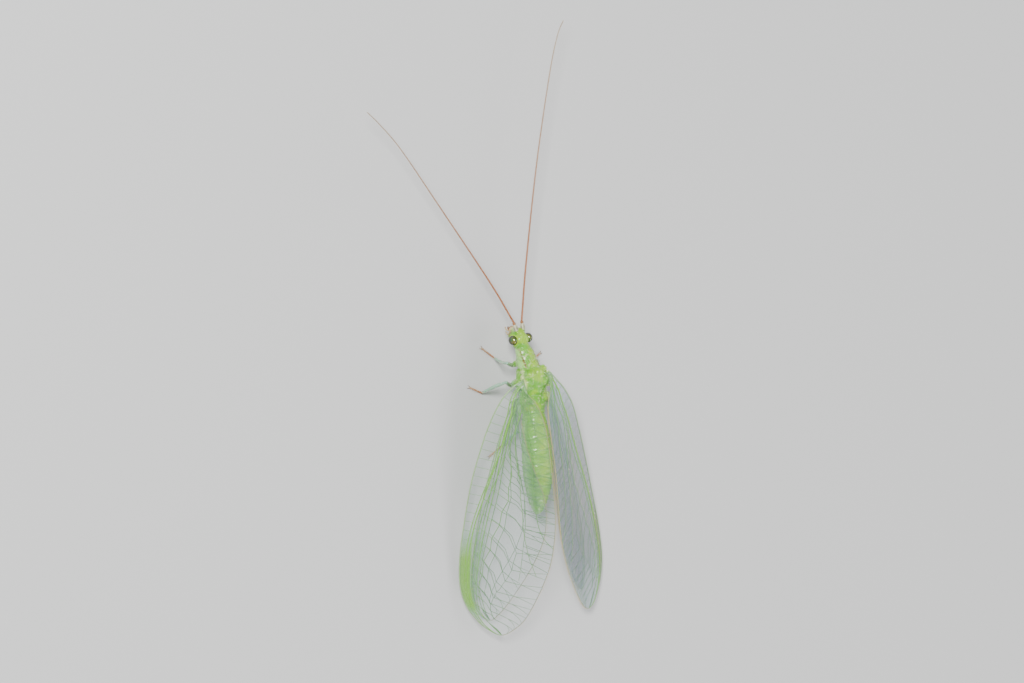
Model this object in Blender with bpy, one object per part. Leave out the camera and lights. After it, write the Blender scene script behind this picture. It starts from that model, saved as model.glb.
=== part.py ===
"""A green lacewing at rest, life size, with its wings folded like a roof.

The head looks along -Y, the insect's left side is +X and up is +Z.
Sizes below are in millimetres, in a frame with the body's middle plane at x = 0 and the floor at
z = 0. The finished meshes are scaled to metres and moved so that the origin lies under the
middle of the whole insect, feelers included.
"""
import math

import bmesh
import bpy
from mathutils import Matrix, Vector
from mathutils.geometry import delaunay_2d_cdt

MILLIMETRE = 0.001
ORIGIN = Vector((2.12, -3.38, 0.0))      # the point of the floor under the middle of the insect
GAP = 0.12                              # left between pieces that meet
SIDES = {"left": 1.0, "right": -1.0}

# Stations of the body: y, middle x, middle z, half width, half height
BODY = (
    (-2.45, 0.10, 2.03, 0.51, 0.42),    # collar of the prothorax
    (-2.10, 0.06, 2.11, 0.57, 0.49),
    (-1.70, 0.02, 2.18, 0.62, 0.54),
    (-1.42, 0.00, 2.22, 0.67, 0.59),
    (-1.15, 0.00, 2.28, 0.84, 0.76),    # shoulders of the mesothorax
    (-0.75, 0.00, 2.32, 0.96, 0.88),
    (-0.20, 0.00, 2.34, 0.96, 0.88),
    (0.15, 0.00, 2.33, 0.88, 0.82),     # waist between the two wing-bearing lengths
    (0.55, 0.00, 2.32, 0.88, 0.80),
    (1.00, 0.00, 2.30, 0.78, 0.72),
    (1.30, 0.00, 2.30, 0.62, 0.62),     # base of the abdomen
    (2.30, -0.02, 2.28, 0.80, 0.74),
    (3.40, -0.03, 2.26, 0.90, 0.80),
    (4.50, -0.03, 2.23, 0.94, 0.82),
    (5.40, -0.02, 2.18, 0.86, 0.77),
    (6.20, 0.00, 2.10, 0.70, 0.66),
    (6.90, 0.03, 2.00, 0.48, 0.48),
    (7.35, 0.05, 1.92, 0.28, 0.30),
    (7.55, 0.06, 1.88, 0.12, 0.14),
)
PROTHORAX = (-2.45, -1.42)              # each length of the body from y to y
MESOTHORAX = (-1.30, 0.12)
METATHORAX = (0.24, 1.22)
ABDOMEN_FRONT = (1.34, 3.36)
ABDOMEN_MIDDLE = (3.48, 5.36)
ABDOMEN_END = (5.48, 7.55)
SEGMENT_ENDS = (2.30, 3.36, 4.40, 5.36, 6.15, 6.80)   # grooves round the abdomen
GROOVE_DEPTH = 0.05
GROOVE_WIDTH = 0.16
BODY_SIDES = 20

HEAD = Vector((0.20, -3.12, 1.92))      # middle of the head
HEAD_STATIONS = (                       # along y from the middle: z shift, half width, half height
    (0.55, 0.06, 0.26, 0.24),
    (0.46, 0.06, 0.42, 0.38),
    (0.25, 0.02, 0.54, 0.50),
    (0.00, -0.02, 0.57, 0.56),
    (-0.25, -0.10, 0.53, 0.58),
    (-0.45, -0.20, 0.44, 0.52),
    (-0.60, -0.32, 0.34, 0.40),
    (-0.68, -0.40, 0.20, 0.24),
)
EYE_RADII = Vector((0.33, 0.36, 0.40))
EYE_SPREAD = 0.50                       # from the head's middle plane
EYE_PLACE = Vector((0.0, 0.06, 0.06))   # from the head's middle
SCAPE_SPREAD = 0.23
SCAPE_ROOT = Vector((0.0, -0.50, 0.02))
SCAPE_LENGTH = 0.62
SCAPE_RADIUS = 0.17

# Feelers: the points they pass through, from the end of the scape to the tip
FEELERS = {
    "left": ((0.56, -4.22, 1.98), (1.95, -6.70, 2.05), (4.96, -11.61, 2.15),
             (7.30, -15.34, 2.25), (8.65, -17.10, 2.32), (9.40, -17.78, 2.35)),
    "right": ((-0.02, -4.24, 1.98), (-0.62, -7.40, 2.05), (-1.87, -13.10, 2.15),
              (-3.23, -18.22, 2.25), (-3.95, -20.40, 2.32), (-4.46, -21.29, 2.35)),
}
FEELER_RADII = (0.24, 0.10)             # next to the head and at the tip
FEELER_LENGTHS = 3

# Legs: where each leaves the body, its joints, and where its foot ends
LEGS = {
    ("front", "left"): ((0.30, -1.85, 1.95), (0.52, -1.60, 1.32), (1.38, -1.88, 2.05),
                        (0.92, -1.86, 0.14), (1.66, -2.54, 0.10)),
    ("middle", "left"): ((0.45, -0.55, 1.90), (0.60, -0.32, 1.12), (1.52, -0.78, 2.00),
                         (2.00, 0.05, 0.14), (2.74, -0.38, 0.10)),
    ("hind", "left"): ((0.42, 0.62, 1.90), (0.56, 0.80, 1.10), (0.44, 2.58, 1.10),
                       (0.99, 3.47, 0.14), (1.79, 3.92, 0.10)),
    ("front", "right"): ((-0.25, -1.85, 1.95), (-0.48, -1.70, 1.25), (-1.28, -1.45, 1.50),
                         (-1.52, -1.12, 0.14), (-2.34, -1.56, 0.10)),
    ("middle", "right"): ((-0.45, -0.55, 1.90), (-0.62, -0.46, 1.10), (-1.52, -0.30, 2.00),
                          (-1.86, 0.70, 0.14), (-2.60, 0.40, 0.10)),
    ("hind", "right"): ((-0.42, 0.62, 1.90), (-0.60, 0.80, 1.12), (-1.24, 2.28, 1.70),
                        (-1.50, 3.90, 0.14), (-1.95, 4.50, 0.10)),
}
COXA_RADII = (0.26, 0.22)
FEMUR_RADII = (0.20, 0.25, 0.23)
TIBIA_RADII = (0.21, 0.24, 0.20)
TARSUS_RADII = (0.20, 0.19, 0.15)
LEG_SIDES = 8

# Wings: the roof's height over the middle plane, and over a line ROOF_EDGE outside of it
ROOF_EDGE = 5.05
ROOF = (                                # y, height over the middle plane, height over the edge line
    (-1.00, 3.46, 1.46),
    (0.00, 3.64, 1.30),
    (1.00, 3.78, 1.08),
    (2.40, 4.00, 0.76),
    (4.30, 4.17, 0.55),
    (6.40, 4.20, 0.50),
    (8.20, 4.10, 0.50),
    (10.20, 3.78, 0.48),
    (11.50, 3.42, 0.46),
    (12.70, 2.98, 0.44),
    (13.60, 2.58, 0.44),
    (14.70, 2.05, 0.46),
)
# Outlines: x, y, from the front of the hinge round the tip. The right wings are swung out a little
# further, and their hind margins run more obliquely to the tip.
FOREWING_OUTLINE = {
    "left": (
        (0.90, -0.80), (1.48, -0.62), (2.30, 0.13), (2.97, 1.50), (3.62, 3.43), (4.12, 5.30),
        (4.55, 7.40), (4.90, 9.25), (5.02, 11.00), (4.78, 12.30), (4.16, 13.40), (3.50, 14.08),
        (2.80, 14.46), (2.18, 14.26), (1.52, 13.60), (0.92, 12.20), (0.45, 10.50), (0.24, 9.00),
        (0.15, 7.40), (0.15, 5.00), (0.15, 2.80), (0.22, 1.50), (0.50, 0.60), (0.84, -0.05)),
    "right": (
        (0.90, -0.80), (1.48, -0.62), (2.30, 0.13), (2.97, 1.50), (3.62, 3.43), (4.14, 5.30),
        (4.62, 7.40), (5.03, 9.25), (5.20, 11.00), (4.96, 12.30), (4.48, 13.30), (4.06, 13.90),
        (3.58, 14.18), (3.10, 13.92), (2.45, 13.02), (1.50, 11.50), (0.76, 10.10), (0.34, 8.80),
        (0.15, 7.40), (0.15, 5.00), (0.15, 2.80), (0.22, 1.50), (0.50, 0.60), (0.84, -0.05)),
}
HINDWING_OUTLINE = {
    "left": (
        (1.12, 0.42), (1.48, 0.95), (1.98, 2.10), (2.55, 3.90), (3.10, 5.90), (3.55, 7.80),
        (3.86, 9.60), (4.02, 11.20), (3.95, 12.20), (3.62, 13.00), (3.10, 13.45), (2.60, 13.20),
        (2.10, 12.60), (1.45, 11.50), (0.86, 10.10), (0.52, 9.00), (0.50, 8.20), (0.86, 7.20),
        (1.18, 6.20), (1.26, 4.80), (1.22, 3.20), (1.16, 2.00), (1.08, 1.10)),
    "right": (
        (1.12, 0.42), (1.48, 0.95), (2.00, 2.10), (2.58, 3.90), (3.16, 5.90), (3.62, 7.80),
        (3.94, 9.60), (4.06, 11.00), (4.00, 12.00), (3.80, 12.72), (3.48, 13.02), (3.06, 12.68),
        (2.68, 12.05), (2.05, 10.90), (1.50, 9.70), (1.16, 8.60), (1.08, 7.60), (1.16, 6.20),
        (1.26, 4.80), (1.22, 3.20), (1.16, 2.00), (1.08, 1.10)),
}
SPREAD = {"left": 0.98, "right": 1.03}  # the left wings lie a little closer to the body
WING_THICKNESS = {"forewing": 0.50, "hindwing": 0.45}
EDGE_SHARE = 0.62                       # thickness left at the margin
TIP_SHARE = 0.80                        # and towards the tip
EDGE_BAND = 0.45                        # width of the band that thins to the margin
STACK = 0.70                            # from the forewing's middle surface to the hindwing's
VEIN_HEIGHT = 0.11
VEIN_HALF_WIDTH = 0.13
POINT_SPACING = 0.75

# Main veins: x, y along each
FOREWING_VEINS = {
    "subcosta": ((1.28, -0.40), (1.60, -0.05), (1.97, 0.90), (2.33, 2.00), (3.00, 4.30),
                 (3.63, 5.90), (4.24, 7.70), (4.68, 10.20), (4.58, 12.10), (4.20, 13.10)),
    "radial_sector": ((1.87, 1.70), (2.38, 3.60), (2.84, 4.90), (3.30, 6.00), (3.64, 6.90),
                      (4.00, 8.40), (4.26, 9.80), (4.32, 11.10), (4.10, 12.40), (3.60, 13.50)),
    "pseudomedia": ((1.02, -0.30), (1.18, 0.40), (1.38, 1.20), (1.72, 2.30), (1.98, 3.40),
                    (2.16, 4.80), (2.36, 6.00), (2.74, 7.10), (3.16, 8.20), (3.54, 9.40),
                    (3.76, 10.60), (3.72, 11.90), (3.40, 13.20)),
    "pseudocubitus": ((1.50, 2.60), (1.68, 3.60), (1.74, 5.00), (1.72, 7.00), (1.66, 9.00),
                      (1.64, 10.30), (1.76, 11.60), (1.96, 12.80)),
    "cubitus": ((0.92, 0.30), (1.06, 1.20), (1.10, 2.30), (1.05, 3.20), (1.07, 4.20),
                (1.10, 5.50), (1.06, 6.70), (0.92, 7.90), (0.72, 8.70)),
    "gradate": ((2.02, 9.30), (2.40, 10.30), (2.75, 11.10), (3.20, 11.70)),
}
HINDWING_VEINS = {
    "radius": ((1.30, 1.10), (1.75, 2.60), (2.35, 5.20), (2.95, 7.90), (3.35, 10.60),
               (3.30, 12.50)),
    "pseudomedia": ((1.45, 1.60), (1.70, 3.60), (2.05, 6.40), (2.30, 9.40), (2.45, 11.90)),
    "pseudocubitus": ((1.50, 6.60), (1.30, 8.00), (1.40, 9.60), (1.85, 11.40)),
}

COLOURS = {
    "body": (0.27, 0.60, 0.05), "pronotum": (0.33, 0.62, 0.10), "abdomen": (0.40, 0.72, 0.08),
    "eye": (0.05, 0.04, 0.02), "feeler": (0.45, 0.20, 0.09), "scape": (0.62, 0.62, 0.45),
    "mouth": (0.50, 0.33, 0.16), "leg": (0.35, 0.55, 0.42), "foot": (0.70, 0.36, 0.14),
    "wing": (0.55, 0.68, 0.62),
}


def clear_scene():
    for thing in list(bpy.data.objects):
        bpy.data.objects.remove(thing, do_unlink=True)


def material(name, colour, roughness=0.4, alpha=1.0):
    made = bpy.data.materials.new(name)
    made.use_nodes = True
    shader = made.node_tree.nodes["Principled BSDF"]
    shader.inputs["Base Color"].default_value = (*colour, 1.0)
    shader.inputs["Roughness"].default_value = roughness
    shader.inputs["Metallic"].default_value = 0.0
    shader.inputs["Alpha"].default_value = alpha
    return made


def curve_through(points, steps):
    """Points of a smooth curve through the given ones, with steps to each stretch."""
    points = [Vector(point) for point in points]
    ends = [2 * points[0] - points[1]] + points + [2 * points[-1] - points[-2]]
    found = []
    for before, start, end, after in zip(ends, ends[1:], ends[2:], ends[3:]):
        for step in range(steps):
            t = step / steps
            found.append(0.5 * ((2 * start) + (end - before) * t
                                + (2 * before - 5 * start + 4 * end - after) * t ** 2
                                + (3 * start - before - 3 * end + after) * t ** 3))
    return found + [points[-1]]


def even_points(points, spacing, closed=False):
    """The same line with its points about one spacing apart."""
    line = list(points) + ([points[0]] if closed else [])
    lengths = [0.0]
    for start, end in zip(line, line[1:]):
        lengths.append(lengths[-1] + (end - start).length)
    count = max(2, round(lengths[-1] / spacing))
    found, at = [], 0
    for index in range(count + (0 if closed else 1)):
        wanted = lengths[-1] * index / count
        while at < len(line) - 2 and lengths[at + 1] < wanted:
            at += 1
        share = (wanted - lengths[at]) / max(lengths[at + 1] - lengths[at], 1e-9)
        found.append(line[at].lerp(line[at + 1], min(1.0, share)))
    return found


def between(stations, at):
    """Values at one place, on smooth curves through rows that start with their place."""
    rows = stations if stations[0][0] < stations[-1][0] else stations[::-1]
    at = min(max(at, rows[0][0]), rows[-1][0])
    index = next(i for i in range(len(rows) - 1) if at <= rows[i + 1][0])
    start, end = rows[index], rows[index + 1]
    before, after = rows[max(index - 1, 0)], rows[min(index + 2, len(rows) - 1)]
    span = end[0] - start[0]
    t = (at - start[0]) / span
    found = []
    for value in range(1, len(start)):
        rise = (end[value] - before[value]) / (end[0] - before[0]) * span
        fall = (after[value] - start[value]) / (after[0] - start[0]) * span
        found.append((2 * t ** 3 - 3 * t ** 2 + 1) * start[value] + (t ** 3 - 2 * t ** 2 + t) * rise
                     + (3 * t ** 2 - 2 * t ** 3) * end[value] + (t ** 3 - t ** 2) * fall)
    return found


def make_object(name, vertices, faces, finish):
    mesh = bpy.data.meshes.new(name)
    mesh.from_pydata([tuple(vertex) for vertex in vertices], [], faces)
    shape = bmesh.new()
    shape.from_mesh(mesh)
    bmesh.ops.recalc_face_normals(shape, faces=shape.faces)
    if shape.calc_volume(signed=True) < 0:
        bmesh.ops.reverse_faces(shape, faces=shape.faces)
    shape.to_mesh(mesh)
    shape.free()
    mesh.materials.append(finish)
    made = bpy.data.objects.new(name, mesh)
    bpy.context.scene.collection.objects.link(made)
    return made


def skin_rings(rings):
    """Vertices and faces of a closed tube over rings of equal count, closed by a fan at each end."""
    count = len(rings[0])
    vertices = [point for ring in rings for point in ring]
    faces = []
    for ring in range(len(rings) - 1):
        for side in range(count):
            near = ring * count + side
            far = ring * count + (side + 1) % count
            faces.append((near, far, far + count, near + count))
    for ring in (0, len(rings) - 1):
        middle = sum(rings[ring], Vector()) / count
        vertices.append(middle)
        hub = len(vertices) - 1
        for side in range(count):
            faces.append((ring * count + side, hub, ring * count + (side + 1) % count))
    return vertices, faces


def tube_rings(points, radii, sides, round_start=False, round_end=False):
    """Rings square to a line of points, with the radii spread along it and round ends if asked."""
    lengths = [0.0]
    for start, end in zip(points, points[1:]):
        lengths.append(lengths[-1] + (end - start).length)
    rows = [(lengths[-1] * index / (len(radii) - 1), radius) for index, radius in enumerate(radii)]
    side_axis = None
    rings = []
    for index, point in enumerate(points):
        ahead = (points[min(index + 1, len(points) - 1)] - points[max(index - 1, 0)]).normalized()
        if side_axis is None:
            side_axis = ahead.orthogonal().normalized()
        side_axis = (side_axis - ahead * side_axis.dot(ahead)).normalized()
        up_axis = ahead.cross(side_axis)
        radius = between(rows, lengths[index])[0]
        layers = [(0.0, 1.0)]
        if index == 0 and round_start:
            layers = [(-0.80, 0.60), (0.0, 1.0)]
        if index == len(points) - 1 and round_end:
            layers = [(0.0, 1.0), (0.80, 0.60)]
        for shift, share in layers:
            rings.append([point + ahead * shift * radius
                          + (side_axis * math.cos(turn) + up_axis * math.sin(turn)) * radius * share
                          for turn in (2 * math.pi * side / sides for side in range(sides))])
    return rings


def body_groove(y):
    deepest = max((1 - abs(y - end) / GROOVE_WIDTH for end in SEGMENT_ENDS), default=0)
    return 1 - GROOVE_DEPTH * max(0.0, deepest)


def body_ring(y, share=1.0):
    middle_x, middle_z, half_width, half_height = between(BODY, y)
    share *= body_groove(y)
    return [Vector((middle_x + half_width * share * math.cos(turn), y,
                    middle_z + half_height * share * math.sin(turn)))
            for turn in (2 * math.pi * side / BODY_SIDES for side in range(BODY_SIDES))]


def body_length(name, ends, finish, spacing=0.24, chamfer=0.06):
    start, end = ends
    steps = max(3, round((end - start) / spacing))
    places = [start + (end - start) * step / steps for step in range(steps + 1)]
    rings = [body_ring(start, 0.90)] + [body_ring(start + chamfer)]
    rings += [body_ring(place) for place in places[1:-1]]
    rings += [body_ring(end - chamfer), body_ring(end, 0.90)]
    return make_object(name, *skin_rings(rings), finish)


def apply_boolean(piece, other, operation):
    step = piece.modifiers.new(operation, "BOOLEAN")
    step.operation = operation
    step.object = other
    step.solver = "EXACT"
    shaped = bpy.data.meshes.new_from_object(
        piece.evaluated_get(bpy.context.evaluated_depsgraph_get()))
    piece.modifiers.clear()
    piece.data = shaped
    keep_largest(piece)


def keep_largest(piece):
    """Keep only the largest closed surface of a piece."""
    shape = bmesh.new()
    shape.from_mesh(piece.data)
    bmesh.ops.remove_doubles(shape, verts=shape.verts, dist=0.002)
    bmesh.ops.dissolve_degenerate(shape, edges=shape.edges, dist=0.002)
    left = set(shape.faces)
    parts = []
    while left:
        found, queue = set(), [next(iter(left))]
        while queue:
            face = queue.pop()
            if face in left:
                left.discard(face)
                found.add(face)
                queue.extend(near for edge in face.edges for near in edge.link_faces)
        parts.append(found)
    parts.sort(key=lambda faces: sum(face.calc_area() for face in faces), reverse=True)
    loose = [face for part in parts[1:] for face in part]
    bmesh.ops.delete(shape, geom=loose, context="FACES")
    shape.to_mesh(piece.data)
    shape.free()


def grown_copy(piece, distance):
    """A copy of a piece whose surface is moved out by a distance."""
    shape = bmesh.new()
    shape.from_mesh(piece.data)
    shape.normal_update()
    moves = [vertex.normal * distance * vertex.calc_shell_factor() for vertex in shape.verts]
    for vertex, move in zip(shape.verts, moves):
        vertex.co += move
    mesh = bpy.data.meshes.new("cutter")
    shape.to_mesh(mesh)
    shape.free()
    cutter = bpy.data.objects.new("cutter", mesh)
    bpy.context.scene.collection.objects.link(cutter)
    return cutter


def cut_clear(piece, *neighbours):
    """Cut a piece back from its neighbours, so that the gap is left between them."""
    for neighbour in neighbours:
        cutter = grown_copy(neighbour, GAP)
        bpy.context.view_layer.update()
        apply_boolean(piece, cutter, "DIFFERENCE")
        bpy.data.objects.remove(cutter, do_unlink=True)


def join_pieces(piece, others):
    for other in others:
        bpy.context.view_layer.update()
        apply_boolean(piece, other, "UNION")
        bpy.data.objects.remove(other, do_unlink=True)


def make_head(finish):
    rings = []
    for along, shift, half_width, half_height in HEAD_STATIONS:
        rings.append([HEAD + Vector((half_width * math.cos(turn), along,
                                     shift + half_height * math.sin(turn)))
                      for turn in (2 * math.pi * side / 20 for side in range(20))])
    return make_object("head", *skin_rings(rings), finish)


def make_eye(side, head, finish):
    shape = bmesh.new()
    bmesh.ops.create_uvsphere(shape, u_segments=14, v_segments=9, radius=1.0)
    middle = HEAD + EYE_PLACE + Vector((SIDES[side] * EYE_SPREAD, 0, 0))
    vertices = [middle + Vector(vertex.co) * EYE_RADII for vertex in shape.verts]
    faces = [[vertex.index for vertex in face.verts] for face in shape.faces]
    shape.free()
    eye = make_object(f"eye_{side}", vertices, faces, finish)
    cut_clear(eye, head)
    return eye


def make_mouthparts(head, finish):
    """Clypeus, upper lip and jaws as one wedge, with the four palps that hang beside it."""
    top = HEAD + Vector((0, -0.42, -0.40))
    bottom = HEAD + Vector((0, -0.46, -1.05))
    wedge = make_object("mouthparts", *skin_rings(
        tube_rings([top, top.lerp(bottom, 0.5), bottom], (0.30, 0.25, 0.17), 10,
                   round_end=True)), finish)
    palps = []
    for side in SIDES.values():
        for reach, drop, back in ((0.52, -1.02, -0.62), (0.30, -1.18, -0.20)):
            root = HEAD + Vector((side * 0.10, -0.42, -0.75))
            elbow = HEAD + Vector((side * (reach + 0.02), back * 0.9, drop * 0.80))
            tip = HEAD + Vector((side * reach, back - 0.14, drop))
            line = curve_through((root, elbow, tip), 2)
            palps.append(make_object("palp", *skin_rings(
                tube_rings(line, (0.11, 0.10, 0.08), 6, round_end=True)), finish))
    join_pieces(wedge, palps)
    cut_clear(wedge, head)
    return wedge


def make_scape(side, head, finish):
    root = HEAD + SCAPE_ROOT + Vector((SIDES[side] * SCAPE_SPREAD, 0, 0))
    goal = Vector(FEELERS[side][0])
    tip = root + (goal - root).normalized() * SCAPE_LENGTH
    line = [root, root.lerp(tip, 0.5), tip]
    scape = make_object(f"scape_{side}", *skin_rings(
        tube_rings(line, (SCAPE_RADIUS * 0.8, SCAPE_RADIUS, SCAPE_RADIUS), 10, round_end=True)),
        finish)
    cut_clear(scape, head)
    return scape


def make_feeler(side, scape, finish):
    """The feeler beyond its scape, in a few lengths that meet end to end."""
    line = even_points(curve_through(FEELERS[side], 8), 0.05)
    total = len(line) - 1
    pieces = []
    for length in range(FEELER_LENGTHS):
        first = round(total * length / FEELER_LENGTHS)
        last = round(total * (length + 1) / FEELER_LENGTHS)
        if length:
            first += round(GAP / 0.05)
        stretch = even_points(line[first:last + 1], 0.75)
        shares = [first / total, last / total]
        radii = [FEELER_RADII[0] + (FEELER_RADII[1] - FEELER_RADII[0]) * share ** 1.6
                 for share in shares]
        rings = tube_rings(stretch, radii, 7, round_end=length == FEELER_LENGTHS - 1)
        name = f"feeler_{side}_{length + 1}"
        pieces.append(make_object(name, *skin_rings(rings), finish))
    cut_clear(pieces[0], scape)
    return pieces


def flatten_sole(piece):
    """Lay on the floor whatever of a foot would reach below it."""
    for vertex in piece.data.vertices:
        vertex.co.z = max(vertex.co.z, 0.0)


def make_leg(pair, side, bearer, finishes):
    """Coxa, femur, tibia and tarsus, each cut clear of the one before it."""
    body, trochanter, knee, ankle, toe = (Vector(point) for point in LEGS[pair, side])
    plans = (
        ("coxa", (body, trochanter), COXA_RADII, "leg"),
        ("femur", (trochanter, knee), FEMUR_RADII, "leg"),
        ("tibia", (knee, ankle), TIBIA_RADII, "leg"),
        ("tarsus", (ankle, toe), TARSUS_RADII, "foot"),
    )
    before = bearer
    pieces = []
    for part, ends, radii, finish in plans:
        line = [ends[0].lerp(ends[1], step / 3) for step in range(4)]
        rings = tube_rings(line, radii, LEG_SIDES, round_end=True)
        piece = make_object(f"{pair}_{part}_{side}", *skin_rings(rings), finishes[finish])
        if part in ("tibia", "tarsus"):
            flatten_sole(piece)
        cut_clear(piece, before)
        before = piece
        pieces.append(piece)
    return pieces


def roof_height(x, y):
    over_middle, over_edge = between(ROOF, y)
    return over_middle + (over_edge - over_middle) * x / ROOF_EDGE


def roof_normal(x, y, step=0.05):
    across = (roof_height(x + step, y) - roof_height(x - step, y)) / (2 * step)
    along = (roof_height(x, y + step) - roof_height(x, y - step)) / (2 * step)
    return Vector((-across, -along, 1.0)).normalized()


def nearest_distance(point, lines):
    """How far a point of the plan is from the nearest of some lines."""
    nearest = math.inf
    for line in lines:
        for start, end in zip(line, line[1:]):
            run = end - start
            share = max(0.0, min(1.0, (point - start).dot(run) / max(run.length_squared, 1e-9)))
            nearest = min(nearest, (point - start - run * share).length)
    return nearest


def offset_line(line, distance):
    """A line beside another one, in the plan."""
    found = []
    for index, point in enumerate(line):
        ahead = (line[min(index + 1, len(line) - 1)] - line[max(index - 1, 0)]).normalized()
        found.append(point + Vector((-ahead.y, ahead.x)) * distance)
    return found


def wing_plan(outline, veins):
    """Triangles of a wing in the plan, with the veins' crests and feet as edges."""
    points, edges, spare = [], [], []

    def add_line(line, closed=False):
        first = len(points)
        points.extend(line)
        edges.extend((first + i, first + i + 1) for i in range(len(line) - 1))
        if closed:
            edges.append((first + len(line) - 1, first))

    add_line(outline, closed=True)
    rim = outline + [outline[0]]
    for line in veins:
        for shifted in (line, offset_line(line, VEIN_HALF_WIDTH), offset_line(line, -VEIN_HALF_WIDTH)):
            add_line(shifted)
    spacing = 1.3
    low = Vector((min(p.x for p in outline), min(p.y for p in outline)))
    high = Vector((max(p.x for p in outline), max(p.y for p in outline)))
    rows = int((high.y - low.y) / spacing)
    for row in range(1, rows + 1):
        for column in range(1, 1 + int((high.x - low.x) / spacing)):
            point = low + Vector(((column + 0.5 * (row % 2)) * spacing, row * spacing))
            if inside_wing(point, outline) and nearest_distance(point, [rim] + veins) > 0.45:
                spare.append(point)
    face = list(range(len(outline)))
    found = delaunay_2d_cdt(points + spare, edges, [face], 1, 0.02)
    return found[0], found[2]


def inside_wing(point, outline):
    """Whether a point of the plan is inside an outline."""
    inside = False
    for start, end in zip(outline, outline[1:] + outline[:1]):
        if (start.y > point.y) != (end.y > point.y):
            if point.x < start.x + (point.y - start.y) / (end.y - start.y) * (end.x - start.x):
                inside = not inside
    return inside


def clip_line(line, outline, margin):
    """The part of a vein that lies inside the wing, a margin from its edge."""
    rim = outline + [outline[0]]
    return [point for point in line
            if inside_wing(point, outline) and nearest_distance(point, [rim]) > margin]


def make_wing(kind, side, finish):
    forewing = kind == "forewing"
    corners = (FOREWING_OUTLINE if forewing else HINDWING_OUTLINE)[side]
    routes = FOREWING_VEINS if forewing else HINDWING_VEINS
    outline = even_points(curve_through([Vector(point) for point in corners], 6), POINT_SPACING * 0.8)
    veins = []
    for route in routes.values():
        line = even_points(curve_through([Vector(point) for point in route], 6), POINT_SPACING)
        veins.append(clip_line(line, outline, 0.24))
    plan, triangles = wing_plan(outline, veins)
    rim = outline + [outline[0]]
    length = max(point.y for point in outline)
    thickness = WING_THICKNESS[kind]
    upper, lower = [], []
    for point in plan:
        normal = roof_normal(point.x, point.y)
        middle = Vector((point.x, point.y, roof_height(point.x, point.y)))
        if not forewing:
            middle -= Vector((0, 0, STACK / normal.z))
        inset = min(1.0, nearest_distance(point, [rim]) / EDGE_BAND)
        share = EDGE_SHARE + (1 - EDGE_SHARE) * inset
        share *= 1 - (1 - TIP_SHARE) * max(0.0, point.y / length) ** 2
        crest = max(0.0, 1 - nearest_distance(point, veins) / VEIN_HALF_WIDTH) * VEIN_HEIGHT
        top = middle + normal * (thickness * share / 2 + crest)
        bottom = middle - normal * thickness * share / 2
        for corner, face in ((top, upper), (bottom, lower)):
            corner.x *= SIDES[side] * SPREAD[side]
            face.append(corner)
    count = len(plan)
    faces = [tuple(corners) for corners in triangles]
    faces += [tuple(corner + count for corner in reversed(corners)) for corners in triangles]
    used = {}
    for corners in triangles:
        for start, end in zip(corners, tuple(corners[1:]) + (corners[0],)):
            used[start, end] = True
    for start, end in used:
        if (end, start) not in used:
            faces.append((end, start, start + count))
            faces.append((end, start + count, end + count))
    wing = make_object(f"{kind}_{side}", upper + lower, faces, finish)
    return wing


def place_in_metres():
    """Move every piece to the origin's frame, scale it to metres and shade it smooth."""
    move = Matrix.Scale(MILLIMETRE, 4) @ Matrix.Translation(-ORIGIN)
    for piece in bpy.context.scene.objects:
        piece.data.transform(move)
        piece.data.shade_smooth()
        piece.data.set_sharp_from_angle(angle=math.radians(40))


def main():
    clear_scene()
    finish = {name: material(name, colour, alpha=0.35 if name == "wing" else 1.0)
              for name, colour in COLOURS.items()}
    body_length("prothorax", PROTHORAX, finish["pronotum"])
    mesothorax = body_length("mesothorax", MESOTHORAX, finish["body"])
    metathorax = body_length("metathorax", METATHORAX, finish["body"])
    body_length("abdomen_front", ABDOMEN_FRONT, finish["abdomen"])
    body_length("abdomen_middle", ABDOMEN_MIDDLE, finish["abdomen"])
    body_length("abdomen_end", ABDOMEN_END, finish["abdomen"])
    head = make_head(finish["body"])
    make_mouthparts(head, finish["mouth"])
    bearers = {"front": bpy.data.objects["prothorax"], "middle": mesothorax, "hind": metathorax}
    for side in SIDES:
        make_eye(side, head, finish["eye"])
        scape = make_scape(side, head, finish["scape"])
        make_feeler(side, scape, finish["feeler"])
        for kind in ("forewing", "hindwing"):
            make_wing(kind, side, finish["wing"])
    for pair, side in LEGS:
        make_leg(pair, side, bearers[pair], finish)
    place_in_metres()


main()
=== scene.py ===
import math

import bpy
import numpy as np
from mathutils import Matrix, Vector, noise


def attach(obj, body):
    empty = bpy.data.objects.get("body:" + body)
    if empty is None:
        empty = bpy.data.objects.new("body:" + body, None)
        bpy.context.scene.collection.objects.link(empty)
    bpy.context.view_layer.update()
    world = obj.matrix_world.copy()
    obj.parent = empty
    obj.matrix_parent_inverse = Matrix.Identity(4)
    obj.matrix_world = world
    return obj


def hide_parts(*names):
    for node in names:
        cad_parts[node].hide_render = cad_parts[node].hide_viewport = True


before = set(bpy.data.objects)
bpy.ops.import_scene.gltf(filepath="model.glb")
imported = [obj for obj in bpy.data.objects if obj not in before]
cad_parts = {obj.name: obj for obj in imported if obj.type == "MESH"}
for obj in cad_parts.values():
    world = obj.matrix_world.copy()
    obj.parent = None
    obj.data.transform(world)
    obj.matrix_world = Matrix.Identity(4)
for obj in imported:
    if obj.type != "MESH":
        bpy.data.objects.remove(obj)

# The looks of a green lacewing at rest. Sizes are in millimetres in the insect's own frame: the
# head looks along -Y, its left side is +X, the floor is z = 0 and ORIGIN is the row's origin.
MM = 0.001
ORIGIN = np.array((2.12, -3.38, 0.0))
SIDES = {"left": 1.0, "right": -1.0}
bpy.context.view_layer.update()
RANDOM = np.random.default_rng(7)

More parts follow.
